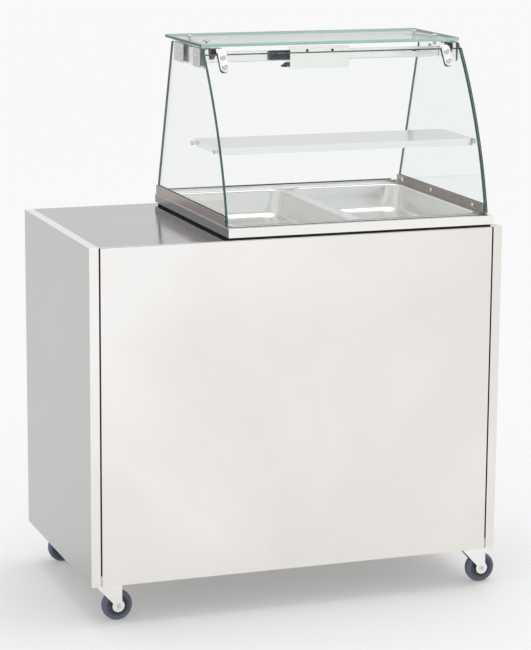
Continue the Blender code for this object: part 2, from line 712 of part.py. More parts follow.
def top_bolt_spots():
    offset = TOP_GLASS_WIDTH / 2 - 0.038
    return [(DISPLAY_CENTRE + side * offset, y) for side in (-1, 1) for y in (-0.010, 0.124)]


def side_glasses():
    """The two upright panes, drilled for the shelf's and the brackets' bolts."""
    foot = BASE_TOP + 0.0027
    front = arc_points(GLASS + 0.0015, foot, SIDE_GLASS_TOP, 13)
    edge = front + [(SIDE_GLASS_REAR[1], SIDE_GLASS_TOP), (SIDE_GLASS_REAR[0], foot)]
    holes = [disc_points(spot, BOLT_HOLE) for spot in shelf_bolt_spots() + bracket_bolt_spots()]
    for name, side in (("side_glass_left", -1), ("side_glass_right", 1)):
        place = (DISPLAY_CENTRE + side * (GLASS_X - GLASS / 2), 0, 0)
        plate(name, [edge] + holes, GLASS, CLEAR_GLASS, place, FACING_X)


def top_glass():
    """The flat roof pane, drilled for its four disc-headed bolts."""
    half = TOP_GLASS_WIDTH / 2
    low = (DISPLAY_CENTRE - half, TOP_GLASS_Y[0])
    edge = rounded_rectangle(low, (DISPLAY_CENTRE + half, TOP_GLASS_Y[1]), 0.005, 2)
    holes = [disc_points(spot, BOLT_HOLE) for spot in top_bolt_spots()]
    place = (0, 0, TOP_GLASS_Z + TOP_GLASS / 2)
    plate("top_glass", [edge] + holes, TOP_GLASS, CLEAR_GLASS, place, (0, 0, 0))


def top_brackets():
    """Angle brackets that carry the top glass from the side glasses, each with its black hinge block and pin."""
    wall = GLASS_X - GLASS - 0.0003
    sheet = BRACKET_SHEET
    low, high = BRACKET_Z
    angle = [(wall, low), (wall, high), (wall - BRACKET_FLANGE, high), (wall - BRACKET_FLANGE, high - sheet),
             (wall - sheet, high - sheet), (wall - sheet, low)]
    place = (DISPLAY_CENTRE, (BRACKET_Y[0] + BRACKET_Y[1]) / 2, 0)
    for name, side in (("top_bracket_left", -1), ("top_bracket_right", 1)):
        section = angle if side > 0 else [(-x, z) for x, z in reversed(angle)]
        bracket = as_mesh(plate(name, [section], BRACKET_Y[1] - BRACKET_Y[0], STEEL, place, FACING_Y))
        join(bracket, hinge_block(side))
        holes = [cutter_pin((DISPLAY_CENTRE, *spot), BOLT_HOLE, 0.8, 0) for spot in bracket_bolt_spots()]
        holes += [cutter_pin((*spot, high), BOLT_HOLE, 0.02, 2) for spot in top_bolt_spots()]
        cut(bracket, *holes)


def hinge_block(side):
    """A wedge under the bracket's flange with the pin that reaches into the clamp's knuckle."""
    y, z = hinge_axis()
    top = BRACKET_Z[1] - BRACKET_SHEET / 2
    wedge = [(y - 0.005, z + 0.002), (y - 0.005, z - 0.002), (y - 0.002, z - 0.006), (y + 0.014, z - 0.018),
             (y + 0.022, top), (y - 0.002, top)]
    width = 0.012
    reach = CLAMP_WIDTH - 0.002
    inner_face = DISPLAY_CENTRE + side * (CLAMP_OFFSET + CLAMP_WIDTH / 2 + 0.0006)
    body = as_mesh(plate("hinge_block", [wedge], width, BLACK, (inner_face + side * width / 2, 0, 0), FACING_X))
    bm = bmesh.new()
    bmesh.ops.create_cone(bm, cap_ends=True, segments=12, radius1=PIN_RADIUS, radius2=PIN_RADIUS, depth=reach + 0.004)
    place = (inner_face - side * (reach / 2 - 0.002), y, z)
    pin = add_object("hinge_pin", mesh_from(bm, "hinge_pin"), BLACK, place, (0, pi / 2, 0))
    return join(body, pin)


def display_shelf():
    """The folded shelf between the side glasses, open below."""
    half = GLASS_X - GLASS - 0.0004
    low = (DISPLAY_CENTRE - half, SHELF_Y[0], SHELF_TOP - SHELF_LIP)
    shelf = tray("display_shelf", low, (DISPLAY_CENTRE + half, SHELF_Y[1], SHELF_TOP), [(0, 0, -1)], STEEL, 0.0015)
    cut(shelf, *[cutter_pin((DISPLAY_CENTRE, *spot), BOLT_HOLE, 0.8, 0) for spot in shelf_bolt_spots()])


def light_bar():
    """The lamp's channel between the two top brackets, open below, and its diffuser."""
    half = GLASS_X - GLASS - BRACKET_SHEET - 0.0008
    low = (DISPLAY_CENTRE - half, BAR_Y[0], BAR_Z[0])
    tray("light_bar", low, (DISPLAY_CENTRE + half, BAR_Y[1], BAR_Z[1]), [(0, 0, -1)], STEEL, 0.0010)
    inset = 0.0014
    low = (DISPLAY_CENTRE - half + 0.012, BAR_Y[0] + inset, BAR_Z[0] - 0.0020)
    high = (DISPLAY_CENTRE + half - 0.012, BAR_Y[1] - inset, BAR_Z[1] - inset)
    block("lamp_diffuser", low, high, FROSTED, 0.002)


def light_box():
    """The lamp's control box on the front of the bar, with its finned black heat sink at the left."""
    front, back = 0.008, BAR_Y[0] - 0.0004
    low = (DISPLAY_CENTRE - 0.079, front, 1.287)
    box = tray("light_box", low, (DISPLAY_CENTRE + 0.079, back, 1.341), [(0, 1, 0)], STEEL)
    fins, pitch = 7, 0.0070
    start = -0.129
    points = [(start, back), (start, front + 0.006)]
    for i in range(fins):
        x = start + i * pitch
        points += [(x + pitch - 0.0035, front + 0.006), (x + pitch - 0.0035, front + 0.010),
                   (x + pitch, front + 0.010), (x + pitch, front + 0.006)]
    end = -0.0785
    points += [(end, front + 0.006), (end, back)]
    join(box, as_mesh(plate("heat_sink", [points], 0.023, BLACK, (DISPLAY_CENTRE, 0, 1.3210), (0, 0, 0))))


# ---------------------------------------------------------------- casters

def caster_places():
    """Corner names with the swivel axes' X and Y."""
    x, y = HALF_WIDTH - CASTER_INSET_X, HALF_DEPTH - CASTER_INSET_Y
    return [("front_left", -x, -y), ("front_right", x, -y), ("rear_left", -x, y), ("rear_right", x, y)]


def caster_plates():
    """The fixed top plates, each with its raceway below."""
    top = SKIRT_BOTTOM - 0.0003 - PLATE_BOTTOM
    raceway = 0.0245
    profile = [(0, top), (raceway, top), (raceway, -0.0030), (raceway - 0.003, -0.0038), (0, -0.0038)]
    for corner, x, y in caster_places():
        disc = turned("raceway", profile, ZINC, (x, y, PLATE_BOTTOM), steps=20)
        low = (x - PLATE_SIZE[0] / 2, y - PLATE_SIZE[1] / 2, PLATE_BOTTOM)
        high = (x + PLATE_SIZE[0] / 2, y + PLATE_SIZE[1] / 2, PLATE_BOTTOM + top)
        join(block("caster_plate_" + corner, low, high, ZINC), disc)


def fork_outline():
    """A fork leg's side view, in X from the swivel axis and Z from the floor."""
    axle = (CASTER_TRAIL, WHEEL_RADIUS)
    boss = 0.0155
    points = [(CASTER_TRAIL + 0.0095, 0.110), (-0.022, 0.110), (-0.022, 0.087)]
    for degrees in range(150, 420, 30):
        angle = radians(min(degrees, 412))
        points.append((axle[0] + boss * cos(angle), axle[1] + boss * sin(angle)))
    points.append((CASTER_TRAIL + 0.0095, axle[1] + 0.0125))
    return points


def fork_mesh():
    """A folded fork cut to the legs' outline, with the axle bolt through it; Z is the floor's height."""
    half = FORK_GAP / 2 + FORK_SHEET
    top = PLATE_BOTTOM - 0.0041
    fork = tray("fork", (-0.030, -half, 0.010), (0.060, half, top), [(0, 0, -1), (1, 0, 0), (-1, 0, 0)], ZINC,
                FORK_SHEET, pivot=(0, 0, 0))
    side_view = as_mesh(plate("fork_side_view", [fork_outline()], 0.1, ZINC, (0, 0, 0), FACING_Y))
    reach = half + 0.0030
    profile = [(0, reach), (0.0065, reach), (0.0075, reach - 0.001), (0.0075, half - 0.0005),
               (0.0040, half - 0.0005), (0.0040, -half + 0.0005), (0.0075, -half + 0.0005),
               (0.0075, -reach + 0.001), (0.0065, -reach), (0, -reach)]
    axle = turned("axle", profile, ZINC, (CASTER_TRAIL, 0, WHEEL_RADIUS), FACING_Y, steps=12)
    join(fork, side_view, "INTERSECT")
    join(fork, axle)
    mesh = fork.data
    bpy.data.objects.remove(fork, do_unlink=True)
    mesh.name = "caster_fork"
    return mesh


def hub_mesh():
    half = [(0.0048, 0.0125), (0.0100, 0.0125), (0.0100, 0.0060), (0.0220, 0.0060), (0.0220, 0.0095),
            (0.0260, 0.0095)]
    return turned_mesh("wheel_hub", half + [(r, -z) for r, z in reversed(half)], 20, closed_ring=True)


def tyre_mesh():
    r, w = WHEEL_RADIUS, WHEEL_WIDTH / 2
    half = [(0.0264, w - 0.001), (0.0300, w), (r - 0.0035, w - 0.001), (r - 0.0010, w - 0.004), (r, w - 0.008)]
    return turned_mesh("tyre", half + [(a, -z) for a, z in reversed(half)], 24, closed_ring=True)


def brake_pedal_mesh():
    """A bent tread with its pivot at the origin, reaching out over the wheel."""
    section = [(-0.0050, -0.0020), (-0.0030, -0.0035), (0.0020, -0.0030), (0.0235, -0.0085), (0.0240, -0.0065),
               (0.0040, 0.0005), (0.0010, 0.0022), (-0.0030, 0.0020)]
    eye = disc_points((-0.0005, -0.0008), 0.0013, 8)
    pedal = as_mesh(plate("pedal", [section, eye], 0.026, ZINC, (0, 0, 0), FACING_Y))
    mesh = pedal.data
    mesh.transform(pedal.matrix_basis)
    bpy.data.objects.remove(pedal, do_unlink=True)
    mesh.name = "brake_pedal"
    return mesh


def casters():
    """Four swivel casters that all trail toward +X; the two on the operator's side have brake pedals."""
    fork, hub, tyre, pedal = fork_mesh(), hub_mesh(), tyre_mesh(), brake_pedal_mesh()
    for corner, x, y in caster_places():
        swivel = add_object("fork_" + corner, fork, ZINC, (x, y, 0))
        axle = (CASTER_TRAIL, 0, WHEEL_RADIUS)
        add_object("hub_" + corner, hub, NYLON, axle, FACING_Y, parent=swivel)
        add_object("tyre_" + corner, tyre, RUBBER, axle, FACING_Y, parent=swivel)
        if corner.startswith("rear"):
            add_object("brake_pedal_" + corner[5:], pedal, ZINC, (0.0430, 0, 0.0845), parent=swivel)


def build():
    for make in (side_panels, inner_liners, front_panel, chassis_tray, cupboard_floor, worktop, bulkhead,
                 cupboard_shelf, door_tracks, sliding_doors, control_panel, thermostat_knobs, rocker_switch,
                 indicator_lamp, cable_gland, well_tank, heating_element, display_plinth, display_base, pans,
                 glass_rails, side_glasses, front_glass, front_clamps, top_glass, top_brackets,
                 display_shelf, light_bar, light_box, caster_plates, casters):
        make()


build()
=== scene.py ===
import json
import math
import bpy
import bmesh
from mathutils import Matrix, Vector


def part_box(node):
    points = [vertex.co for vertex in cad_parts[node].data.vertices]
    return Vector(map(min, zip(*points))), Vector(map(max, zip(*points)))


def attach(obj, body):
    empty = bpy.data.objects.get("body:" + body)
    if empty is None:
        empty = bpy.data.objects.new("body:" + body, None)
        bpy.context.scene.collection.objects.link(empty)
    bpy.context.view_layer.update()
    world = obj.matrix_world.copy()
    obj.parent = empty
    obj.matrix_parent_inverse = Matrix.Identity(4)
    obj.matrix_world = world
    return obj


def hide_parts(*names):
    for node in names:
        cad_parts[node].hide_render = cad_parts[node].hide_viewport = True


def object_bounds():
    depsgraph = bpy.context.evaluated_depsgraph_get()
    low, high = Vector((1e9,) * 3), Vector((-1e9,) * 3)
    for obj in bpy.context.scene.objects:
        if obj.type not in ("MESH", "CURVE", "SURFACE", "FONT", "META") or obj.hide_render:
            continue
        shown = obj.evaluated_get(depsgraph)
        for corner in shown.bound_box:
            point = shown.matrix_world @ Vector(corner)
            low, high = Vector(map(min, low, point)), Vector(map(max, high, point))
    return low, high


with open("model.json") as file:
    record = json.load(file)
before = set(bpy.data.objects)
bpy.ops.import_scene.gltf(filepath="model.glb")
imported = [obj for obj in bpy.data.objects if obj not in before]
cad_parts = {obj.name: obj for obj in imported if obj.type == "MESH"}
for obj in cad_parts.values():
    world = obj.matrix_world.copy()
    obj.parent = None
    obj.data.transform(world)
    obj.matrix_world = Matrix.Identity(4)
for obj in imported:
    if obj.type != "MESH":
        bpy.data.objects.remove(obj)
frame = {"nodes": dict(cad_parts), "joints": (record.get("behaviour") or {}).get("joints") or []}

scene = bpy.context.scene
nodes = frame["nodes"]
joints = {joint["name"]: joint for joint in frame["joints"]}
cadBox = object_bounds()
corners = ("front_left", "front_right", "rear_left", "rear_right")
sides = (("left", -1), ("right", 1))
print("frame loaded:", len(nodes), "parts")

def addObject(name, data):
    thing = bpy.data.objects.new(name, data)
    scene.collection.objects.link(thing)
    return thing

def addNode(tree, kind, inputs=None, **settings):
    node = tree.nodes.new(kind)
    for name, value in settings.items():
        setattr(node, name, value)
    for name, value in (inputs or {}).items():
        node.inputs[name].default_value = value
    return node

def shapeMesh(name, bm):
    mesh = bpy.data.meshes.new(name)
    bm.to_mesh(mesh)
    bm.free()
    return mesh

def wire(tree, *links):
    # each link is a source node, its output, a target node and its input
    for source, output, target, socket in links:
        tree.links.new(source.outputs[output], target.inputs[socket])


# camera, light and floor

view = {"place": (-2.042, -5.679, 1.901), "yaw": 19.88, "pitch": 11.77, "roll": 0.41, "lens": 135.37}

def placeCamera():
    yaw, pitch, roll = (math.radians(view[key]) for key in ("yaw", "pitch", "roll"))
    ahead = Vector((math.sin(yaw) * math.cos(pitch), math.cos(yaw) * math.cos(pitch), -math.sin(pitch)))
    level = Vector((math.cos(yaw), -math.sin(yaw), 0))
    rise = level.cross(ahead)
    right = level * math.cos(roll) + rise * math.sin(roll)
    up = rise * math.cos(roll) - level * math.sin(roll)
    data = bpy.data.cameras.new("camera")
    data.lens = view["lens"]
    data.sensor_width = 36
    scene.camera = addObject("camera", data)
    turn = Matrix((right, up, -ahead)).transposed().to_4x4()
    scene.camera.matrix_world = Matrix.Translation(view["place"]) @ turn

studio = {
    "skyToward": (0.35, -0.75, 0.55), "skyStops": ((0.0, 0.72), (0.4, 0.80), (0.7, 0.86), (1.0, 0.90)),
    "floorColour": (0.66, 0.66, 0.66), "floorGlow": 0.205, "floorSize": 160,
    "daylight": 0.80, "daylightSpread": 50, "daylightFrom": (0.12, 0.10, 1.0),
    "lampAt": (0.2, 0.6, 4.6), "lampToward": (0, 0.2, 0.0), "lampSide": 3.0, "lampPower": 6,
}

def fillRamp(ramp, stops):
    elements = ramp.color_ramp.elements
    while len(elements) < len(stops):
        elements.new(0.5)
    for element, (place, value) in zip(elements, stops):
        element.position = place
        element.color = (value, value, value, 1) if isinstance(value, float) else (*value, 1)

def lightStudio():
    world = bpy.data.worlds.new("studio")
    scene.world = world
    world.use_nodes = True
    tree = world.node_tree
    coords = addNode(tree, "ShaderNodeTexCoord")
    toward = addNode(tree, "ShaderNodeVectorMath", {1: Vector(studio["skyToward"]).normalized()},
                     operation="DOT_PRODUCT")
    spread = addNode(tree, "ShaderNodeMapRange", {"From Min": -1.0})
    ramp = addNode(tree, "ShaderNodeValToRGB")
    fillRamp(ramp, studio["skyStops"])
    wire(tree, (coords, "Generated", toward, 0), (toward, "Value", spread, "Value"),
         (spread, "Result", ramp, "Fac"), (ramp, "Color", tree.nodes["Background"], "Color"))
    data = bpy.data.lights.new("overhead", "AREA")
    data.shape = "RECTANGLE"
    data.size = data.size_y = studio["lampSide"]
    data.energy = studio["lampPower"]
    lamp = addObject("overhead", data)
    lamp.location = studio["lampAt"]
    beam = Vector(studio["lampToward"]) - Vector(studio["lampAt"])
    lamp.rotation_euler = beam.to_track_quat("-Z", "Y").to_euler()
    data = bpy.data.lights.new("daylight", "SUN")
    data.energy = studio["daylight"]
    data.angle = math.radians(studio["daylightSpread"])
    sun = addObject("daylight", data)
    sun.rotation_euler = Vector(studio["daylightFrom"]).to_track_quat("Z", "Y").to_euler()
    scene.view_settings.view_transform = "Standard"

finishes = {}

def startFinish(name, colour, roughness, metallic=0.0):
    finish = bpy.data.materials.new(name)
    finish.use_nodes = True
    shader = finish.node_tree.nodes["Principled BSDF"]
    shader.inputs["Base Color"].default_value = (*colour, 1)
    shader.inputs["Roughness"].default_value = roughness
    shader.inputs["Metallic"].default_value = metallic
    finishes[name] = finish
    return finish.node_tree, shader

def layFloor():
    bm = bmesh.new()
    bmesh.ops.create_grid(bm, x_segments=1, y_segments=1, size=studio["floorSize"] / 2)
    mesh = shapeMesh("studioFloor", bm)
    tree, shader = startFinish("studioFloor", studio["floorColour"], 0.9)
    shader.inputs["Emission Color"].default_value = (1, 1, 1, 1)
    shader.inputs["Emission Strength"].default_value = studio["floorGlow"]
    mesh.materials.append(finishes["studioFloor"])
    floor = addObject("studioFloor", mesh)

placeCamera()
lightStudio()
layFloor()
print("studio lit")


# finishes

def patternOn(tree, scale, detail, stretch=(1, 1, 1), distortion=0.0):
    # noise over Object coordinates, stretched along the grain
    coords = addNode(tree, "ShaderNodeTexCoord")
    mapping = addNode(tree, "ShaderNodeMapping", {"Scale": stretch})
    noise = addNode(tree, "ShaderNodeTexNoise", {"Scale": scale, "Detail": detail, "Distortion": distortion})
    wire(tree, (coords, "Object", mapping, "Vector"), (mapping, "Vector", noise, "Vector"))
    return noise.outputs["Fac"]

def spreadTo(tree, value, low, high, target, fromLow=0.3, fromHigh=0.7):
    spread = addNode(tree, "ShaderNodeMapRange", {
        "From Min": fromLow, "From Max": fromHigh, "To Min": low, "To Max": high})
    tree.links.new(value, spread.inputs["Value"])
    tree.links.new(spread.outputs["Result"], target)

def tintBetween(tree, value, dark, light, target):
    ramp = addNode(tree, "ShaderNodeValToRGB")
    fillRamp(ramp, ((0.3, dark), (0.7, light)))
    tree.links.new(value, ramp.inputs["Fac"])
    tree.links.new(ramp.outputs["Color"], target)

def raiseBump(tree, value, strength, distance, shader):
    bump = addNode(tree, "ShaderNodeBump", {"Strength": strength, "Distance": distance})
    tree.links.new(value, bump.inputs["Height"])
    tree.links.new(bump.outputs["Normal"], shader.inputs["Normal"])

steels = {
    # name: colour, roughness, its spread, grain stretch, grain bump, cloud contrast, painted shade as a
    # change of tone per metre
    # frontSteel carries painted shade: darker towards the right, lighter towards the top
    "frontSteel": ((0.91, 0.893, 0.877), 0.34, 0.05, (260, 260, 5), 0.05, 0.068, (-0.30, 0, 0.28)),
    # sideSteel and shadedBaseSteel are darker copies of the front and display steel: painted shade for faces
    # to the left and right
    "sideSteel": ((0.52, 0.52, 0.515), 0.30, 0.03, (260, 260, 5), 0.035, 0.03),
    "foldSteel": ((0.93, 0.925, 0.90), 0.28, 0.05, (260, 260, 5), 0.05, 0.03),
    "mirrorSteel": ((0.56, 0.56, 0.585), 0.12, 0.06, (6, 240, 240), 0.03, 0.05),
    "displaySteel": ((0.93, 0.925, 0.90), 0.24, 0.015, (5, 320, 320), 0.008, 0.015),
    "shadedBaseSteel": ((0.19, 0.185, 0.19), 0.24, 0.03, (260, 5, 260), 0.03, 0.06),
    "railSteel": ((0.30, 0.25, 0.235), 0.26, 0.06, (260, 5, 260), 0.06, 0.05),
    "panSteel": ((0.86, 0.86, 0.86), 0.20, 0.08, (60, 60, 60), 0.04, 0.06),
    "innerSteel": ((0.62, 0.62, 0.61), 0.38, 0.06, (5, 220, 220), 0.05, 0.04),
    "doorSteel": ((0.70, 0.70, 0.68), 0.31, 0.05, (260, 260, 5), 0.05, 0.04),
    "brightZinc": ((0.92, 0.925, 0.93), 0.24, 0.10, (40, 40, 40), 0.05, 0.06),
    "boltSteel": ((0.66, 0.66, 0.67), 0.22, 0.08, (90, 90, 90), 0.05, 0.05),
}

def mixSteel(name, colour, roughness, spread, stretch, bump, clouds, drift=(0, 0, 0)):
    tree, shader = startFinish(name, colour, roughness, 1.0)
    grain = patternOn(tree, 1.0, 4, stretch)
    smudge = patternOn(tree, 1.9, 4, (1, 1, 1), 0.5)
    # the darker clouds are a little warmer, as polished steel shows
    dark = tuple(channel * (1 - clouds * warmth) for channel, warmth in zip(colour, (1.0, 1.3, 1.7)))
    light = tuple(min(1.0, channel * (1 + clouds)) for channel in colour)
    # painted shade: the tone also follows drift across the part, darker where it falls and lighter where it
    # rises
    coords = addNode(tree, "ShaderNodeTexCoord")
    along = addNode(tree, "ShaderNodeVectorMath", {1: drift}, operation="DOT_PRODUCT")
    level = addNode(tree, "ShaderNodeMath", {1: drift[2] * cadBox[1][2] / 2}, operation="SUBTRACT")
    tone, blend = (addNode(tree, "ShaderNodeMath", operation="ADD") for _ in range(2))
    wire(tree, (coords, "Object", along, 0), (along, "Value", level, 0), (level, 0, tone, 0))
    tree.links.new(smudge, tone.inputs[1])
    tintBetween(tree, tone.outputs[0], dark, light, shader.inputs["Base Color"])
    tree.links.new(grain, blend.inputs[0])
    tree.links.new(smudge, blend.inputs[1])
    spreadTo(tree, blend.outputs[0], roughness - spread, roughness + spread, shader.inputs["Roughness"],
             0.7, 1.3)
    raiseBump(tree, grain, bump, 0.0004, shader)

def mixGlass():
    # clear faces: a faint green film with a sharp reflection that grows where the glass is seen edge on
    finish = bpy.data.materials.new("clearGlass")
    finish.use_nodes = True
    tree = finish.node_tree
    tree.nodes.remove(tree.nodes["Principled BSDF"])
    clear = addNode(tree, "ShaderNodeBsdfTransparent", {"Color": (0.985, 0.996, 0.993, 1)})
    gloss = addNode(tree, "ShaderNodeBsdfGlossy")
    smear = patternOn(tree, 9, 3, (1, 1, 1), 0.4)
    spreadTo(tree, smear, 0.02, 0.07, gloss.inputs["Roughness"])
    slant = addNode(tree, "ShaderNodeLayerWeight", {"Blend": 0.5})
    steep = addNode(tree, "ShaderNodeMath", {1: 5.0}, operation="POWER")
    sheen = addNode(tree, "ShaderNodeMath", {1: 0.55, 2: 0.03}, operation="MULTIPLY_ADD")
    mix = addNode(tree, "ShaderNodeMixShader")
    wire(tree, (slant, "Facing", steep, 0), (steep, 0, sheen, 0), (sheen, 0, mix, "Fac"),
         (clear, "BSDF", mix, 1), (gloss, "BSDF", mix, 2),
         (mix, "Shader", tree.nodes["Material Output"], "Surface"))
    finishes["clearGlass"] = finish

def mixPlain(name, dark, light, roughness, scale, bump, distance):
    tree, shader = startFinish(name, light, roughness)
    speckle = patternOn(tree, scale, 4)
    cloud = patternOn(tree, scale / 40, 3)
    tintBetween(tree, cloud, dark, light, shader.inputs["Base Color"])
    spreadTo(tree, speckle, roughness - 0.06, roughness + 0.08, shader.inputs["Roughness"])
    raiseBump(tree, speckle, bump, distance, shader)

plains = {
    # name: darker and lighter colour, roughness, grain scale, bump strength and depth
    "glassEdge": ((0.012, 0.060, 0.055), (0.026, 0.105, 0.096), 0.30, 300, 0.05, 0.0001),
    # paleGlassEdge is glassEdge painted lighter: painted light on the edges that face the front
    "paleGlassEdge": ((0.36, 0.60, 0.53), (0.44, 0.68, 0.61), 0.15, 300, 0.05, 0.0001),
    "tyreRubber": ((0.100, 0.118, 0.165), (0.135, 0.155, 0.210), 0.62, 900, 0.25, 0.0003),
    "hubNylon": ((0.070, 0.075, 0.095), (0.100, 0.106, 0.130), 0.42, 700, 0.12, 0.0002),
    "blackPlastic": ((0.012, 0.012, 0.014), (0.022, 0.022, 0.025), 0.38, 900, 0.15, 0.0002),
    "gapShadow": ((0.004, 0.004, 0.004), (0.008, 0.008, 0.008), 0.70, 500, 0.20, 0.0003),
    "finAluminium": ((0.050, 0.052, 0.075), (0.075, 0.078, 0.105), 0.45, 600, 0.10, 0.0002),
    "clampPad": ((0.56, 0.56, 0.56), (0.64, 0.64, 0.64), 0.50, 500, 0.15, 0.0002),
    "markWhite": ((0.74, 0.74, 0.72), (0.82, 0.82, 0.80), 0.45, 600, 0.05, 0.0001),
    "amberLens": ((0.80, 0.25, 0.03), (0.95, 0.38, 0.06), 0.16, 500, 0.06, 0.0002),
    "frostedDiffuser": ((0.86, 0.86, 0.83), (0.92, 0.92, 0.89), 0.42, 700, 0.15, 0.0002),
}

for name, values in steels.items():
    mixSteel(name, *values)
for name, values in plains.items():
    mixPlain(name, *values)
mixGlass()
print("finishes mixed:", len(finishes))


# making and finishing meshes

def titled(node):
    first, *rest = node.split("_")
    return first + "".join(word.capitalize() for word in rest)

def placePiece(name, mesh, body, slot, *materials, smooth=35, standsFor=()):
    slots = [face.material_index for face in mesh.polygons]
    mesh.materials.clear()
    for material in materials:
        mesh.materials.append(finishes[material])
    mesh.polygons.foreach_set("material_index", slots)
    if not mesh.has_custom_normals:  # softened pieces bring their own
        mesh.shade_smooth()
        mesh.set_sharp_from_angle(angle=math.radians(smooth))
    piece = addObject(name, mesh)
    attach(piece, body)
    if standsFor:
        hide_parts(*standsFor)

def finishPiece(name, bm, *home, **options):
    placePiece(name, shapeMesh(name, bm), *home, **options)

def bakedMesh(name, obj):
    # the evaluated result as a plain mesh; the modifiers go with the helper object
    bpy.context.view_layer.update()
    graph = bpy.context.evaluated_depsgraph_get()
    mesh = bpy.data.meshes.new_from_object(obj.evaluated_get(graph), depsgraph=graph)
    mesh.name = name
    obj.modifiers.clear()
    bpy.data.objects.remove(obj)
    return mesh

def softenEdges(name, mesh, width, segments=2, angle=38, edgeSlot=-1):
    mesh.shade_smooth()
    helper = addObject(name, mesh)
    bevel = helper.modifiers.new("softEdge", "BEVEL")
    bevel.width = width
    bevel.segments = segments
    bevel.limit_method = "ANGLE"
    bevel.angle_limit = math.radians(angle)
    bevel.material = edgeSlot
    flats = helper.modifiers.new("flatFaces", "WEIGHTED_NORMAL")
    flats.weight = 100
    flats.keep_sharp = True
    return bakedMesh(name, helper)

def softPiece(name, bm, width, *home, segments=2, angle=38, standsFor=()):
    mesh = softenEdges(name, shapeMesh(name, bm), width, segments, angle)
    placePiece(name, mesh, *home, standsFor=standsFor)

def partCopy(node):
    # a merged copy of a part's own mesh
    bm = bmesh.new()
    bm.from_mesh(nodes[node].data)
    bmesh.ops.remove_doubles(bm, verts=bm.verts, dist=0.00001)
    bmesh.ops.dissolve_limit(bm, angle_limit=math.radians(0.6), verts=bm.verts, edges=bm.edges)
    return shapeMesh(node, bm)

def joinRows(bm, rows):
    # a band of faces from each closed row of points to the next
    made = []
    for a, b in zip(rows, rows[1:]):
        for i in range(len(a)):
            j = (i + 1) % len(a)
            made.append(bm.faces.new((a[i], a[j], b[j], b[i])))
    return made

def lathe(bm, profile, matrix, steps, ring=False):
    # turns (radius, height) points about the matrix's Z
    rows = []
    for radius, height in profile:
        turns = [2 * math.pi * i / steps for i in range(steps if radius > 1e-7 else 1)]
        rows.append([bm.verts.new(matrix @ Vector((radius * math.cos(a), radius * math.sin(a), height)))
                     for a in turns])
    made = []
    for a, b in list(zip(rows, rows[1:])) + ([(rows[-1], rows[0])] if ring else []):
        for i in range(steps):
            j = (i + 1) % steps
            corner = [a[i % len(a)], a[j % len(a)], b[j % len(b)], b[i % len(b)]]
            corner = [v for k, v in enumerate(corner) if v not in corner[:k]]
            if len(corner) > 2:
                made.append(bm.faces.new(corner))
    bmesh.ops.recalc_face_normals(bm, faces=made)

def slab(bm, outline, depth, matrix=Matrix.Identity(4)):
    # a flat outline in the matrix's XY, thickened along its Z
    low, high = ([bm.verts.new(matrix @ Vector((x, y, z))) for x, y in outline] for z in (0, depth))
    made = [bm.faces.new(low[::-1]), bm.faces.new(high)] + joinRows(bm, (low, high))
    bmesh.ops.recalc_face_normals(bm, faces=made)
    bm.normal_update()

def roundedOutline(low, high, radius, steps):
    points = []
    middles = ((high[0] - radius, high[1] - radius, 0), (low[0] + radius, high[1] - radius, 90),
               (low[0] + radius, low[1] + radius, 180), (high[0] - radius, low[1] + radius, 270))
    for x, y, start in middles:
        for step in range(steps + 1):
            angle = math.radians(start + 90 * step / steps)
            points.append((x + radius * math.cos(angle), y + radius * math.sin(angle)))
    return points

def depthAlongX(x, y=0, z=0, sign=1):
    # for an outline drawn in Y and Z
    return Matrix(((0, 0, sign, x), (1, 0, 0, y), (0, 1, 0, z), (0, 0, 0, 1)))

def depthAlongY(y):
    # for an outline drawn in X and Z
    return Matrix(((1, 0, 0, 0), (0, 0, 1, y), (0, 1, 0, 0), (0, 0, 0, 1)))

def turnedAboutY(x, z):
    # for a profile turned about a line that runs out of the operator's side
    return Matrix.Translation((x, 0, z)) @ Matrix.Rotation(-math.pi / 2, 4, "X")


# node trees, for what repeats or follows a curve

def startTree(name, sockets):
    tree = bpy.data.node_groups.new(name, "GeometryNodeTree")
    tree.interface.new_socket("Geometry", in_out="INPUT", socket_type="NodeSocketGeometry")
    for label, kind, value in sockets:
        socket = tree.interface.new_socket(label, in_out="INPUT", socket_type="NodeSocket" + kind)
        if value is not None:
            socket.default_value = value
    tree.interface.new_socket("Geometry", in_out="OUTPUT", socket_type="NodeSocketGeometry")
    return tree, tree.nodes.new("NodeGroupInput"), tree.nodes.new("NodeGroupOutput")

def growMesh(name, tree, values, mesh=None):
    # runs the tree on a helper, with its named inputs set by identifier
    helper = addObject(name, mesh or bpy.data.meshes.new(name))
    modifier = helper.modifiers.new(tree.name, "NODES")
    modifier.node_group = tree
    for item in tree.interface.items_tree:
        if item.in_out == "INPUT" and item.name in values:
            modifier[item.identifier] = values[item.name]
    return bakedMesh(name, helper)

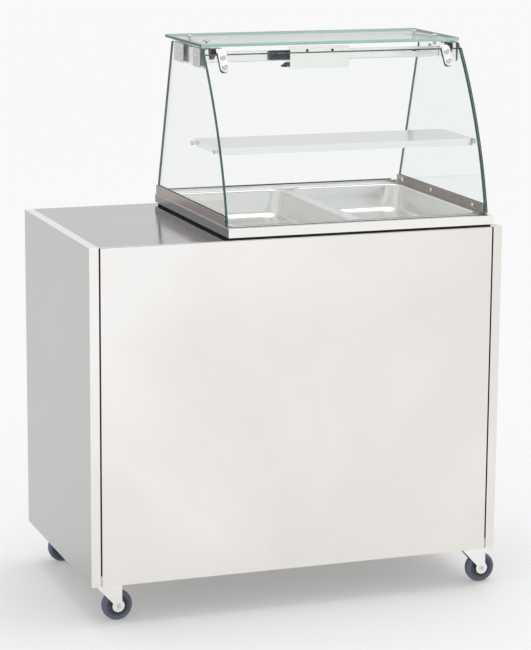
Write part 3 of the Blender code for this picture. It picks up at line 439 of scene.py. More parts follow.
def bowedGlassTree():
    # an arc of glass: two bowed faces and four ground edges
    tree, given, result = startTree("bowedGlass", [
        ("Radius", "Float", 1.0), ("Start", "Float", 0.2), ("Sweep", "Float", 0.4), ("Steps", "Int", 48),
        ("Width", "Float", 0.6), ("Thickness", "Float", 0.006), ("Faces", "Material", None),
        ("Edges", "Material", None)])
    arc = addNode(tree, "GeometryNodeCurveArc", mode="RADIUS")
    section = addNode(tree, "GeometryNodeCurvePrimitiveQuadrilateral", mode="RECTANGLE")
    sweep = addNode(tree, "GeometryNodeCurveToMesh", {"Fill Caps": True})
    place, normal = (addNode(tree, "GeometryNodeInput" + kind) for kind in ("Position", "Normal"))
    outward = addNode(tree, "ShaderNodeVectorMath", operation="NORMALIZE")
    along = addNode(tree, "ShaderNodeVectorMath", operation="DOT_PRODUCT")
    size = addNode(tree, "ShaderNodeMath", operation="ABSOLUTE")
    isFace = addNode(tree, "ShaderNodeMath", {1: 0.9}, operation="GREATER_THAN")
    realize = addNode(tree, "GeometryNodeRealizeInstances")
    edged, faced = (addNode(tree, "GeometryNodeSetMaterial") for _ in range(2))
    wire(tree, (given, "Steps", arc, "Resolution"), (given, "Radius", arc, "Radius"),
         (given, "Start", arc, "Start Angle"), (given, "Sweep", arc, "Sweep Angle"),
         (given, "Thickness", section, "Width"), (given, "Width", section, "Height"),
         (arc, "Curve", sweep, "Curve"), (section, "Curve", sweep, "Profile Curve"),
         (place, "Position", outward, 0), (outward, "Vector", along, 0), (normal, "Normal", along, 1),
         (along, "Value", size, 0), (size, 0, isFace, 0), (sweep, "Mesh", realize, "Geometry"),
         (realize, "Geometry", edged, "Geometry"), (given, "Edges", edged, "Material"),
         (edged, "Geometry", faced, "Geometry"), (isFace, 0, faced, "Selection"),
         (given, "Faces", faced, "Material"), (faced, "Geometry", result, "Geometry"))
    return tree

def realizeAndCoat(tree, given, scatter, result):
    realize = addNode(tree, "GeometryNodeRealizeInstances")
    coat = addNode(tree, "GeometryNodeSetMaterial")
    wire(tree, (scatter, "Instances", realize, "Geometry"), (realize, "Geometry", coat, "Geometry"),
         (given, "Finish", coat, "Material"), (coat, "Geometry", result, "Geometry"))

def fastenerTree():
    # one fastener on every point, its Z turned to the point's aim
    tree, given, result = startTree("fasteners", [
        ("Fastener", "Object", None), ("Size", "Float", 1.0), ("Finish", "Material", None)])
    head = addNode(tree, "GeometryNodeObjectInfo", transform_space="ORIGINAL")
    aim = addNode(tree, "GeometryNodeInputNamedAttribute", {"Name": "aim"}, data_type="FLOAT_VECTOR")
    turn = addNode(tree, "FunctionNodeAlignRotationToVector", axis="Z")
    scatter = addNode(tree, "GeometryNodeInstanceOnPoints")
    wire(tree, (given, "Fastener", head, "Object"), (given, "Geometry", scatter, "Points"),
         (head, "Geometry", scatter, "Instance"), (aim, 0, turn, "Vector"),
         (turn, "Rotation", scatter, "Rotation"), (given, "Size", scatter, "Scale"))
    realizeAndCoat(tree, given, scatter, result)
    return tree

def rowTree():
    # copies of one shape at an even pitch along a line, each turned a little more
    tree, given, result = startTree("evenRow", [
        ("Shape", "Object", None), ("Count", "Int", 5), ("Pitch", "Vector", (0.01, 0, 0)),
        ("First Turn", "Float", 0.0), ("Turn", "Float", 0.0), ("Finish", "Material", None)])
    shape = addNode(tree, "GeometryNodeObjectInfo", transform_space="ORIGINAL")
    line = addNode(tree, "GeometryNodeMeshLine", mode="OFFSET")
    index = addNode(tree, "GeometryNodeInputIndex")
    turned = addNode(tree, "ShaderNodeMath", operation="MULTIPLY_ADD")
    upright = addNode(tree, "ShaderNodeCombineXYZ")
    turn = addNode(tree, "FunctionNodeEulerToRotation")
    scatter = addNode(tree, "GeometryNodeInstanceOnPoints")
    wire(tree, (given, "Shape", shape, "Object"), (given, "Count", line, "Count"),
         (given, "Pitch", line, "Offset"), (index, "Index", turned, 0), (given, "Turn", turned, 1),
         (given, "First Turn", turned, 2), (turned, 0, upright, "Z"), (upright, "Vector", turn, "Euler"),
         (line, "Mesh", scatter, "Points"), (shape, "Geometry", scatter, "Instance"),
         (turn, "Rotation", scatter, "Rotation"))
    realizeAndCoat(tree, given, scatter, result)
    return tree

trees = {"glass": bowedGlassTree(), "fasteners": fastenerTree(), "row": rowTree()}

def fastenAt(name, spots, fastener, size, body="cabinet", slot="bright_zinc", finish="boltSteel"):
    # spots are (place, aim) pairs in the trolley's own frame
    points = bpy.data.meshes.new(name + "Spots")
    points.from_pydata([place for place, aim in spots], [], [])
    aims = points.attributes.new("aim", "FLOAT_VECTOR", "POINT")
    for item, (place, aim) in zip(aims.data, spots):
        item.vector = Vector(aim).normalized()
    mesh = growMesh(name, trees["fasteners"], {
        "Fastener": bolts[fastener], "Size": size, "Finish": finishes[finish]}, points)
    placePiece(name, mesh, body, slot, finish, smooth=30)

def growRow(name, bm, count, pitch, matrix, body, slot, finish, firstTurn=0.0, turn=0.0, smooth=35):
    helper = addObject(name + "Shape", shapeMesh(name + "Shape", bm))
    mesh = growMesh(name, trees["row"], {
        "Shape": helper, "Count": count, "Pitch": pitch, "First Turn": firstTurn, "Turn": turn,
        "Finish": finishes[finish]})
    bpy.data.objects.remove(helper)
    mesh.transform(matrix)
    placePiece(name, mesh, body, slot, finish, smooth=smooth)


# bolts and screws, each with its seat at zero

fasteners = {
    # turned profile as (radius, height) from the seat up, socket radius, socket depth
    "discBolt": (((0.0, 0.0), (0.0088, 0.0), (0.0090, 0.0004), (0.0090, 0.0022), (0.0082, 0.0031),
                  (0.0050, 0.0036)), 0.0028, 0.0016),
    "domeBolt": (((0.0, 0.0), (0.0062, 0.0), (0.0062, 0.0008), (0.0056, 0.0026), (0.0042, 0.0036),
                  (0.0032, 0.0039)), 0.0022, 0.0018),
    "panScrew": (((0.0, 0.0), (0.0040, 0.0), (0.0039, 0.0008), (0.0033, 0.0018), (0.0022, 0.0022)),
                 0.0013, 0.0009),
}
# a washer and the six-sided head on it
hexBolt = (((0.0, 0.0), (0.0072, 0.0), (0.0072, 0.0006), (0.0, 0.0006)),
           ((0.0, 0.0005), (0.0060, 0.0007), (0.0058, 0.0036), (0.0050, 0.0042), (0.0, 0.0042)))

def socketBolt(name):
    profile, socket, depth = fasteners[name]
    top = profile[-1][1]
    well = ((socket, top), (socket * 0.94, top - depth), (0.0, top - depth * 1.15))
    bm = bmesh.new()
    lathe(bm, profile + well, Matrix.Identity(4), 20)
    return addObject(name, shapeMesh(name, bm))

def hexagonBolt():
    bm = bmesh.new()
    for profile, steps in zip(hexBolt, (20, 6)):
        lathe(bm, profile, Matrix.Identity(4), steps)
    return addObject("hexBolt", shapeMesh("hexBolt", bm))

bolts = {name: socketBolt(name) for name in fasteners}
bolts["hexBolt"] = hexagonBolt()
print("node trees and fasteners ready")


# folded sheet parts: merged copies with softened edges

sheetParts = {
    # part: finish, edge finish, edge width, and body and slot where they aren't the usual ones
    "front_panel": ("frontSteel", "foldSteel", 0.0007),
    "left_side_panel": ("frontSteel", "foldSteel", 0.0008),
    "right_side_panel": ("frontSteel", "foldSteel", 0.0008),
    "left_liner": ("innerSteel", "innerSteel", 0.0003),
    "right_liner": ("innerSteel", "innerSteel", 0.0003),
    "chassis_tray": ("innerSteel", "foldSteel", 0.0006),
    "cupboard_floor": ("innerSteel", "innerSteel", 0.0003),
    "cupboard_shelf": ("innerSteel", "foldSteel", 0.0006),
    "bulkhead": ("innerSteel", "innerSteel", 0.0003),
    "worktop": ("mirrorSteel", "foldSteel", 0.0004, "cabinet", "polished_stainless"),
    "control_panel": ("doorSteel", "foldSteel", 0.0005),
    "top_track": ("innerSteel", "foldSteel", 0.0004),
    "bottom_track": ("innerSteel", "foldSteel", 0.0004),
    "door_left": ("doorSteel", "foldSteel", 0.0012, "door_left", "brushed_stainless"),
    "door_right": ("doorSteel", "foldSteel", 0.0012, "door_right", "brushed_stainless"),
    "display_base": ("displaySteel", "foldSteel", 0.0008),
    "display_plinth": ("gapShadow", "gapShadow", 0.0006, "cabinet", "black_plastic"),
    "well_tank": ("innerSteel", "foldSteel", 0.0005),
    "glass_rail_left": ("railSteel", "foldSteel", 0.0003),
    "glass_rail_right": ("railSteel", "foldSteel", 0.0003),
    "display_shelf": ("displaySteel", "foldSteel", 0.0004),
    "light_bar": ("displaySteel", "foldSteel", 0.0004),
    "lamp_diffuser": ("frostedDiffuser", "frostedDiffuser", 0.0010, "cabinet", "frosted_diffuser"),
}

# painted shade: parts whose faces to the left and right take a darker copy of their steel
shadedFlanks = {"left_side_panel": "sideSteel", "right_side_panel": "sideSteel", "display_base": "shadedBaseSteel"}

def foldSheet(node, finish, edge, width, body="cabinet", slot="brushed_stainless"):
    mesh = partCopy(node)
    flank = shadedFlanks.get(node, finish)
    for name in (finish, edge, flank):
        mesh.materials.append(finishes[name])
    for face in mesh.polygons:
        face.material_index = 2 if abs(face.normal.x) > 0.9 else 0
    mesh = softenEdges(titled(node), mesh, width, edgeSlot=1)
    placePiece(titled(node), mesh, body, slot, finish, edge, flank, standsFor=(node,))

for node, values in sheetParts.items():
    foldSheet(node, *values)
print("sheet parts softened:", len(sheetParts))

# the immersed heater keeps its own shape and takes a finish
nodes["heating_element"].material_slots[0].material = finishes["boltSteel"]


# the glazed display

glazing = {
    "radius": 1.0, "centreY": 0.6925, "centreZ": 0.7420, "start": 11.972, "steps": 56, "thickness": 0.006,
    "inset": 0.0075, "sideSteps": 40, "arris": 0.0009, "sideRearTop": 0.148, "roofCorner": 0.005,
}
paneLow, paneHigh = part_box("front_glass")
paneHead = math.asin((paneHigh.z - glazing["centreZ"]) / glazing["radius"])

def grindEdges(name, mesh, *edges):
    for finish in ("clearGlass", *edges):
        mesh.materials.append(finishes[finish])
    return softenEdges(name, mesh, glazing["arris"], 1, 60, 1)

def bowedPane():
    thickness, start = glazing["thickness"], glazing["start"]
    mesh = growMesh("bowedPane", trees["glass"], {
        "Radius": glazing["radius"] - thickness / 2, "Start": math.radians(start),
        "Sweep": math.radians(math.degrees(paneHead) - start), "Steps": glazing["steps"],
        "Width": paneHigh.x - paneLow.x, "Thickness": thickness,
        "Faces": finishes["clearGlass"], "Edges": finishes["glassEdge"]})
    # the arc is drawn in XY: X goes to -Y, Y to Z and the width to X
    mesh.transform(Matrix(((0, 0, 1, (paneLow.x + paneHigh.x) / 2), (-1, 0, 0, glazing["centreY"]),
                           (0, 1, 0, glazing["centreZ"]), (0, 0, 0, 1))))
    faces = [material.name for material in mesh.materials].index("clearGlass")
    bm = bmesh.new()
    bm.from_mesh(mesh)
    bmesh.ops.remove_doubles(bm, verts=bm.verts, dist=0.00001)
    bmesh.ops.recalc_face_normals(bm, faces=bm.faces)
    for face in bm.faces:
        face.material_index = 0 if face.material_index == faces else 1
    mesh = grindEdges("bowedPane", shapeMesh("bowedPane", bm), "glassEdge")
    placePiece("bowedPane", mesh, "front_glass", "clear_glass", "clearGlass", "glassEdge",
               standsFor=("front_glass",))

def groundPane(name, outline, thickness, matrix, node, *edges):
    # a flat pane; of two edge finishes, the first, a lighter copy of the glass edge painted as lit, is for
    # the edges that face the front
    bm = bmesh.new()
    slab(bm, outline, thickness, matrix)
    normal = (matrix.to_3x3() @ Vector((0, 0, 1))).normalized()
    for face in bm.faces:
        flat = abs(face.normal.dot(normal)) > 0.9
        front = abs(face.normal.y) > 0.8
        face.material_index = 0 if flat else (1 if front else len(edges))
    mesh = grindEdges(name, shapeMesh(name, bm), *edges)
    placePiece(name, mesh, "cabinet", "clear_glass", "clearGlass", *edges, standsFor=(node,))

def sidePane(side):
    node = "side_glass_" + side
    low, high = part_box(node)
    radius, steps = glazing["radius"] - glazing["inset"], glazing["sideSteps"]
    outline = []
    for step in range(steps + 1):
        z = low.z + (high.z - low.z) * step / steps
        outline.append((glazing["centreY"] - math.sqrt(radius ** 2 - (z - glazing["centreZ"]) ** 2), z))
    outline += [(glazing["sideRearTop"], high.z), (high.y, low.z)]
    groundPane("sidePane" + side.capitalize(), outline, high.x - low.x, depthAlongX(low.x), node, "glassEdge")

def roofPane():
    low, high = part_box("top_glass")
    outline = roundedOutline(low[:2], high[:2], glazing["roofCorner"], 4)
    groundPane("roofPane", outline, high.z - low.z, Matrix.Translation((0, 0, low.z)), "top_glass",
               "paleGlassEdge", "glassEdge")

bowedPane()
for side, _ in sides:
    sidePane(side)
roofPane()
print("glass hung")


# bolts through the glass

hardware = {
    "boltInset": 0.038, "boltRows": (-0.022, 0.112), "bracketRows": (-0.057, 0.073),
    "shelfInset": 0.012, "shelfDrop": 0.0085, "nutDepths": (0.0108, 0.0085),
    "pads": ((-0.083, -0.030), (0.047, 0.119)), "padHeight": 0.046, "padThickness": 0.0018,
}
roofLow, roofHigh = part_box("top_glass")
bracketLow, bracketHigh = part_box("top_bracket_left")
shelfLow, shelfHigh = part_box("display_shelf")
bracketZ = (bracketLow.z + bracketHigh.z) / 2

def roofBolts():
    columns = [roofLow.x + hardware["boltInset"], roofHigh.x - hardware["boltInset"]]
    places = [(x, y) for x in columns for y in hardware["boltRows"]]
    fastenAt("roofBolts", [((x, y, roofHigh.z + 0.0004), (0, 0, 1)) for x, y in places], "discBolt", 1.0)
    under, seat, over = roofLow.z, bracketHigh.z, roofHigh.z + 0.0003
    bm = bmesh.new()
    for x, y in places:
        place = Matrix.Translation((x, y, 0))
        lathe(bm, ((0.0034, under - 0.0018), (0.0085, under - 0.0018), (0.0085, under - 0.0003),
                   (0.0034, under - 0.0003)), place, 24, True)
        lathe(bm, ((0.0, seat - 0.008), (0.0030, seat - 0.008), (0.0031, over), (0.0, over)), place, 16)
        lathe(bm, ((0.0, seat - 0.0125), (0.0050, seat - 0.0125), (0.0055, seat - 0.0080),
                   (0.0055, seat - 0.0026), (0.0, seat - 0.0026)), place, 6)
    finishPiece("roofWashers", bm, "cabinet", "bright_zinc", "boltSteel")

def sideBolts():
    # pads and bolts outside the glass, nuts inside
    pads = bmesh.new()
    spots, inner = [], []
    thick, half = hardware["padThickness"], hardware["padHeight"] / 2
    bracketNut, shelfNut = hardware["nutDepths"]
    for side, sign in sides:
        low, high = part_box("side_glass_" + side)
        outer = low.x if sign < 0 else high.x
        places = []
        for y, (near, far) in zip(hardware["bracketRows"], hardware["pads"]):
            turn = depthAlongX(outer + sign * 0.0002, 0, bracketZ, sign)
            slab(pads, roundedOutline((near, -half), (far, half), 0.003, 4), thick, turn)
            places.append((outer + sign * (0.0003 + thick), y, bracketZ, bracketNut))
        for y in (shelfLow.y + hardware["shelfInset"], shelfHigh.y - hardware["shelfInset"]):
            places.append((outer + sign * 0.0003, y, shelfHigh.z - hardware["shelfDrop"], shelfNut))
        for x, y, z, depth in places:
            spots.append(((x, y, z), (sign, 0, 0)))
            inner.append(((x - sign * depth, y, z), (-sign, 0, 0)))
    softPiece("glassPads", pads, 0.0004, "cabinet", "brushed_stainless", "clampPad")
    fastenAt("sideBolts", spots, "domeBolt", 1.05)
    fastenAt("sideNuts", inner, "hexBolt", 0.9)

roofBolts()
sideBolts()


# hinge clamps on the bowed pane

clamp = {
    "length": 0.050, "width": 0.022, "sheet": 0.0022, "gap": 0.0008, "corner": 0.008, "drops": (0.012, 0.038),
    "knuckle": (0.0023, 0.0045), "knuckleAt": (0.008, 0.008), "bridgeRise": 0.0013, "bridgeThickness": 0.0021,
    "neck": ((0.0040, 0.0010), (0.0088, 0.0010), (0.0088, 0.0042), (0.0040, 0.0058)),
}

def clampFrame(x):
    # at the pane's head, its Z up along the glass
    lean = paneHead - clamp["length"] / 2 / glazing["radius"]
    headY = glazing["centreY"] - glazing["radius"] * math.cos(paneHead)
    return Matrix.Translation((x, headY, paneHigh.z)) @ Matrix.Rotation(-lean, 4, "X")

def hingeClamp(side):
    node = "front_clamp_" + side
    low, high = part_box(node)
    place = clampFrame((low.x + high.x) / 2)
    half, sheet, gap, corner = clamp["width"] / 2, clamp["sheet"], clamp["gap"], clamp["corner"]
    outline = [(half, 0.0034), (-half, 0.0034)]
    for start, x in ((180, -half + corner), (270, half - corner)):
        for step in range(7):
            angle = math.radians(start + 15 * step)
            outline.append((x + corner * math.cos(angle),
                            corner - clamp["length"] + corner * math.sin(angle)))
    bm = bmesh.new()
    for front in (-gap - sheet, glazing["thickness"] + gap):
        slab(bm, outline, sheet, place @ depthAlongY(front))
    bridge = [(-half, -gap - 0.0003), (half, -gap - 0.0003), (half, 0.0071), (-half, 0.0071)]
    slab(bm, bridge, clamp["bridgeThickness"], place @ Matrix.Translation((0, 0, clamp["bridgeRise"])))
    bore, rim = clamp["knuckle"]
    lathe(bm, ((bore, -half), (rim, -half), (rim, half), (bore, half)),
          place @ depthAlongX(0, *clamp["knuckleAt"]), 28, True)
    slab(bm, clamp["neck"], clamp["width"], place @ depthAlongX(-half))
    softPiece("hingeClamp" + side.capitalize(), bm, 0.0005, "front_glass", "bright_zinc", "brightZinc",
              standsFor=(node,))
    outward = place.to_3x3() @ Vector((0, -1, 0))
    front, back = -gap - sheet - 0.0002, glazing["thickness"] + gap + sheet + 0.0002
    for name, y, aim, kind, size in (("clampBolts", front, outward, "domeBolt", 1.15),
                                     ("clampNuts", back, -outward, "hexBolt", 0.8)):
        spots = [(place @ Vector((0, y, -drop)), aim) for drop in clamp["drops"]]
        fastenAt(name + side.capitalize(), spots, kind, size, "front_glass")

for side, _ in sides:
    hingeClamp(side)
print("clamps bolted")


# brackets, lamp box and rails inside the display

brackets = {"sheet": 0.002, "edge": 0.0004, "wedge": 0.0478, "screwPitch": 0.067, "screwDrop": 0.009}

def dressBracket(side, sign):
    # the folded angle and its black hinge wedge are one part, told apart by where their faces stand
    node = "top_bracket_" + side
    low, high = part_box(node)
    wall = low.x if sign < 0 else high.x
    mesh = partCopy(node)
    for finish in ("displaySteel", "foldSteel", "blackPlastic"):
        mesh.materials.append(finishes[finish])
    for face in mesh.polygons:
        reach = abs(face.center.x - wall)
        below = face.center.z < high.z - brackets["sheet"] * 1.2
        face.material_index = 2 if below and brackets["sheet"] * 1.3 < reach < brackets["wedge"] else 0
    mesh = softenEdges(titled(node), mesh, brackets["edge"], 2, 40)
    placePiece(titled(node), mesh, "cabinet", "brushed_stainless", "displaySteel", "foldSteel",
               "blackPlastic", standsFor=(node,))

for side, sign in sides:
    dressBracket(side, sign)

lampBox = {
    "fins": 12, "finPitch": 0.0042, "finThickness": 0.0012, "finDepth": 0.0050, "firstFin": 0.0022,
    "sinkWidth": 0.0505, "sinkFoot": 1.3095, "sinkTop": 1.3325, "sinkDepth": 0.0070,
    "glands": ((0.0140, 1.2990, 0.0110), (0.0215, 1.2935, 0.0150)),  # Y, Z and reach to the left
}

def dressLampBox():
    low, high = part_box("light_box")
    sink = low.x + lampBox["sinkWidth"]
    bm = bmesh.new()
    # a folded cover with a returned edge all round, open at the back
    outer = roundedOutline((sink + 0.0004, low.z), (high.x, high.z), 0.0016, 4)
    inner = roundedOutline((sink + 0.0016, low.z + 0.0012), (high.x - 0.0012, high.z - 0.0012), 0.0008, 4)
    rows = [[bm.verts.new((x, y, z)) for x, z in outline] for outline, y in
            ((inner, high.y), (outer, high.y), (outer, low.y), (inner, low.y + 0.0012))]
    joinRows(bm, rows[:3])
    joinRows(bm, (rows[3], rows[0]))
    bm.faces.new(rows[2])
    bm.faces.new(rows[3][::-1])
    bmesh.ops.recalc_face_normals(bm, faces=bm.faces)
    softPiece("lampBoxCover", bm, 0.0006, "cabinet", "brushed_stainless", "displaySteel", segments=3,
              angle=50, standsFor=("light_box",))
    middle = (sink + high.x) / 2
    screws = [((middle + sign * brackets["screwPitch"] / 2, low.y - 0.0002, high.z - brackets["screwDrop"]),
               (0, -1, 0)) for _, sign in sides]
    fastenAt("lampBoxScrews", screws, "panScrew", 0.85, "cabinet", "black_plastic", "blackPlastic")

    base, fin, glands = (bmesh.new() for _ in range(3))
    foot, height = lampBox["sinkFoot"], lampBox["sinkTop"] - lampBox["sinkFoot"]
    plate = roundedOutline((low.x, high.y - lampBox["sinkDepth"]), (sink - 0.0002, high.y), 0.0006, 2)
    slab(base, plate, height, Matrix.Translation((0, 0, foot)))
    softPiece("heatSinkBase", base, 0.0003, "cabinet", "black_plastic", "finAluminium")
    half, deep = lampBox["finThickness"] / 2, lampBox["finDepth"]
    slab(fin, [(-half, 0), (half, 0), (half * 0.7, -deep), (-half * 0.7, -deep)], height)
    place = Matrix.Translation((low.x + lampBox["firstFin"], high.y - lampBox["sinkDepth"] + 0.0001, foot))
    growRow("heatSinkFins", fin, lampBox["fins"], (lampBox["finPitch"], 0, 0), place, "cabinet",
            "black_plastic", "finAluminium")
    for y, z, reach in lampBox["glands"]:
        place = Matrix.Translation((sink + 0.0006, y, z)) @ Matrix.Rotation(-math.pi / 2, 4, "Y")
        lathe(glands, ((0.0, 0.0), (0.0042, 0.0), (0.0042, 0.0034), (0.0034, 0.0040),
                       (0.0034, reach - 0.0040), (0.0024, reach - 0.0006), (0.0, reach)), place, 20)
    finishPiece("lampGlands", glands, "cabinet", "black_plastic", "blackPlastic")

barEnd = {
    "ends": (0.379, 0.456), "thickness": 0.0014, "corner": 0.008, "slant": 0.006,
    "slot": (0.012, 0.0022), "slotDrop": 0.0095, "screwShift": 0.006, "screwDrop": 0.0105,
}

def dressBarEnd():
    # the slotted end cover that slides on the bar's front
    low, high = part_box("light_bar")
    left, right = barEnd["ends"]
    thick, corner = barEnd["thickness"], barEnd["corner"]
    outline = [(left + barEnd["slant"], high.z), (left, low.z)]
    for step in range(7):
        angle = math.radians(270 + 15 * step)
        outline.append((right - corner + corner * math.cos(angle), low.z + corner + corner * math.sin(angle)))
    outline.append((right, high.z))
    cover, slot = bmesh.new(), bmesh.new()
    slab(cover, outline, thick, depthAlongY(low.y - thick - 0.0002))
    softPiece("barEndCover", cover, 0.0004, "cabinet", "brushed_stainless", "displaySteel")
    centre, foot = (left + right) / 2, high.z - barEnd["slotDrop"]
    length, tall = barEnd["slot"]
    shape = roundedOutline((centre - length, foot), (centre, foot + tall), tall * 0.48, 5)
    slab(slot, shape, 0.0003, depthAlongY(low.y - thick - 0.0005))
    finishPiece("barEndSlot", slot, "cabinet", "black_plastic", "gapShadow")
    screw = (centre + barEnd["screwShift"], low.y - thick - 0.0003, high.z - barEnd["screwDrop"])
    fastenAt("barEndScrew", [(screw, (0, -1, 0))], "panScrew", 0.8)

railScrews = {"fromFront": (0.060, 0.317), "fromRear": 0.040, "rise": 0.001}

def screwRails():
    spots = []
    for side, sign in sides:
        low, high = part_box("glass_rail_" + side)
        inner = high.x if sign < 0 else low.x
        z = (low.z + high.z) / 2 + railScrews["rise"]
        for y in (*(low.y + reach for reach in railScrews["fromFront"]), high.y - railScrews["fromRear"]):
            spots.append(((inner - sign * 0.0002, y, z), (-sign, 0, 0)))
    fastenAt("railScrews", spots, "panScrew", 1.25, finish="brightZinc")

# painted shadow along the base's rear lip
rearTrim = {
    # section from the lip's rear face and its top
    "inset": 0.030, "section": ((0.0004, -0.0060), (0.0004, 0.0010), (-0.0004, 0.0032), (-0.0034, 0.0032),
                                (-0.0042, 0.0010), (-0.0042, -0.0060)),
}

def shadeRearLip():
    # painted shadow: a dark strip shaped as an edge trim over the base's rear lip, short of both rails, for
    # the shadow line between the pans' flanges and the base
    low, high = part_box("display_base")
    inset = rearTrim["inset"]
    bm = bmesh.new()
    slab(bm, [(high.y + y, high.z + z) for y, z in rearTrim["section"]], high.x - low.x - 2 * inset,
         depthAlongX(low.x + inset))
    softPiece("rearTrim", bm, 0.0006, "cabinet", "black_plastic", "blackPlastic")

dressLampBox()
dressBarEnd()
screwRails()
shadeRearLip()
print("display fittings made")


# food pans

pans = {
    "thickness": 0.0009, "cornerSteps": 8,
    # inset from the rim's outside, height under the rim's top, corner radius
    "rings": ((0.0000, -0.0030, 0.014), (0.0000, -0.0012, 0.014), (0.0004, -0.0003, 0.014),
              (0.0014, 0.0, 0.014), (0.0088, 0.0, 0.030), (0.0104, -0.0006, 0.032), (0.0114, -0.0022, 0.033),
              (0.0120, -0.0060, 0.034), (0.0150, -0.0280, 0.038), (0.0190, -0.0540, 0.044),
              (0.0205, -0.0590, 0.045), (0.0235, -0.0622, 0.045), (0.0280, -0.0636, 0.044),
              (0.0400, -0.0640, 0.040)),
}

def pressedPan(side):
    node = "pan_" + side
    low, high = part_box(node)
    top = high.z - 0.0002
    bm = bmesh.new()
    rows = []
    for inset, drop, radius in pans["rings"]:
        outline = roundedOutline((low.x + inset, low.y + inset), (high.x - inset, high.y - inset), radius,
                                 pans["cornerSteps"])
        rows.append([bm.verts.new((x, y, top + drop)) for x, y in outline])
    joinRows(bm, rows)
    bm.faces.new(rows[-1])
    bmesh.ops.recalc_face_normals(bm, faces=bm.faces)
    if sum(face.normal.z for face in bm.faces) < 0:
        bmesh.ops.reverse_faces(bm, faces=bm.faces)
    name = "servingPan" + side.capitalize()
    helper = addObject(name, shapeMesh(name, bm))
    wall = helper.modifiers.new("wall", "SOLIDIFY")
    wall.thickness = pans["thickness"]
    wall.offset = -1
    placePiece(name, bakedMesh(name, helper), node, "brushed_stainless", "panSteel", smooth=50,
               standsFor=(node,))

for side, _ in sides:
    pressedPan(side)
print("pans pressed")


# doors, pulls and controls on the operator's side

pulls = {
    "corner": 0.006, "outlineSteps": 6,
    # inset from the outside and share of the pull's depth: a raised rim round a dished cup
    "rings": ((0.0, 0.0), (0.0, 0.72), (0.0012, 0.93), (0.0030, 1.0), (0.0052, 1.0), (0.0066, 0.92),
              (0.0078, 0.55), (0.0098, 0.22), (0.0125, 0.16)),
}

def cupPull(side):
    node = "pull_" + side
    low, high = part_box(node)
    bm = bmesh.new()
    rows = []
    for inset, share in pulls["rings"]:
        radius = max(pulls["corner"] - inset * 0.35, 0.0015)
        outline = roundedOutline((low.x + inset, low.z + inset), (high.x - inset, high.z - inset), radius,
                                 pulls["outlineSteps"])
        rows.append([bm.verts.new((x, low.y + (high.y - low.y) * share, z)) for x, z in outline])
    joinRows(bm, rows)
    bm.faces.new(rows[0][::-1])
    bm.faces.new(rows[-1])
    bmesh.ops.recalc_face_normals(bm, faces=bm.faces)
    finishPiece("doorPull" + side.capitalize(), bm, "door_" + side, "brushed_stainless", "brightZinc",
                smooth=45, standsFor=(node,))

for side, _ in sides:
    cupPull(side)

knobs = {
    "skirt": 0.0205, "grip": 0.0155, "gripTop": 0.0140, "ribs": 24, "rib": 0.0011, "ribFoot": 0.0064,
    "ticks": 11, "tickRadius": 0.0262, "tick": (0.0011, 0.0034, 0.0004),
    "dialStart": -135.0, "dialSweep": 270.0,
}
panelLow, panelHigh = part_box("control_panel")

def turnKnob(node):
    # skirt, waist and ribbed grip about the joint's own axis
    pivot = Vector(joints[node + "_turn"]["pos_m"])
    low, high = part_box(node)
    front, reach, face = low.y, high.y, panelHigh.y + 0.0005
    skirt, grip, gripTop = (knobs[key] for key in ("skirt", "grip", "gripTop"))
    centre = turnedAboutY(pivot.x, pivot.z)
    name = titled(node)
    knob, rib, pointer, plate, tick = (bmesh.new() for _ in range(5))
    lathe(knob, ((0.0, front + 0.0004), (0.0034, front + 0.0004), (0.0034, face), (skirt - 0.0006, face),
                 (skirt, face + 0.0007), (skirt - 0.0004, face + 0.0030), (skirt - 0.0026, face + 0.0046),
                 (grip, face + 0.0058), (gripTop, reach - 0.0022), (gripTop - 0.0010, reach - 0.0006),
                 (gripTop - 0.0026, reach), (0.0088, reach), (0.0080, reach - 0.0006), (0.0, reach - 0.0006)),
          centre, 64)
    finishPiece(name, knob, node, "black_plastic", "blackPlastic", smooth=32, standsFor=(node,))

    half, foot = knobs["rib"] / 2, face + knobs["ribFoot"]
    slab(rib, [(half, grip - 0.0024), (half * 0.6, grip + 0.0004), (-half * 0.6, grip + 0.0004),
               (-half, grip - 0.0024)], reach - 0.0030 - foot)
    growRow(name + "Ribs", rib, knobs["ribs"], (0, 0, 0), centre @ Matrix.Translation((0, 0, foot)), node,
            "black_plastic", "blackPlastic", 0.0, 2 * math.pi / knobs["ribs"])
    for start, end, height, base in ((0.0060, gripTop - 0.0012, 0.0004, reach - 0.0002),
                                     (grip + 0.0006, skirt - 0.0024, 0.0016, face + 0.0030)):
        slab(pointer, roundedOutline((-0.0009, start), (0.0009, end), 0.0008, 3), height,
             centre @ Matrix.Translation((0, 0, base)))
    finishPiece(name + "Pointer", pointer, node, "black_plastic", "markWhite")

    lathe(plate, ((0.0070, face - 0.0004), (0.0310, face - 0.0004), (0.0312, face - 0.0002),
                  (0.0308, face + 0.0001), (0.0070, face + 0.0001)), centre, 72, True)
    finishPiece(name + "Plate", plate, "cabinet", "brushed_stainless", "foldSteel")
    wide, tall, thick = knobs["tick"]
    near, far = knobs["tickRadius"] - tall / 2, knobs["tickRadius"] + tall / 2
    slab(tick, roundedOutline((-wide / 2, near), (wide / 2, far), wide * 0.3, 2), thick)
    growRow(name + "Ticks", tick, knobs["ticks"], (0, 0, 0), centre @ Matrix.Translation((0, 0, face)),
            "cabinet", "black_plastic", "blackPlastic", math.radians(knobs["dialStart"]),
            math.radians(knobs["dialSweep"]) / (knobs["ticks"] - 1))

turnKnob("knob_well")
turnKnob("knob_cupboard")

switch = {
    "bezelEdge": 0.0035, "bezelDepth": 0.0022, "gap": 0.0007, "rock": 0.0016, "lean": 0.0022, "steps": 10,
}

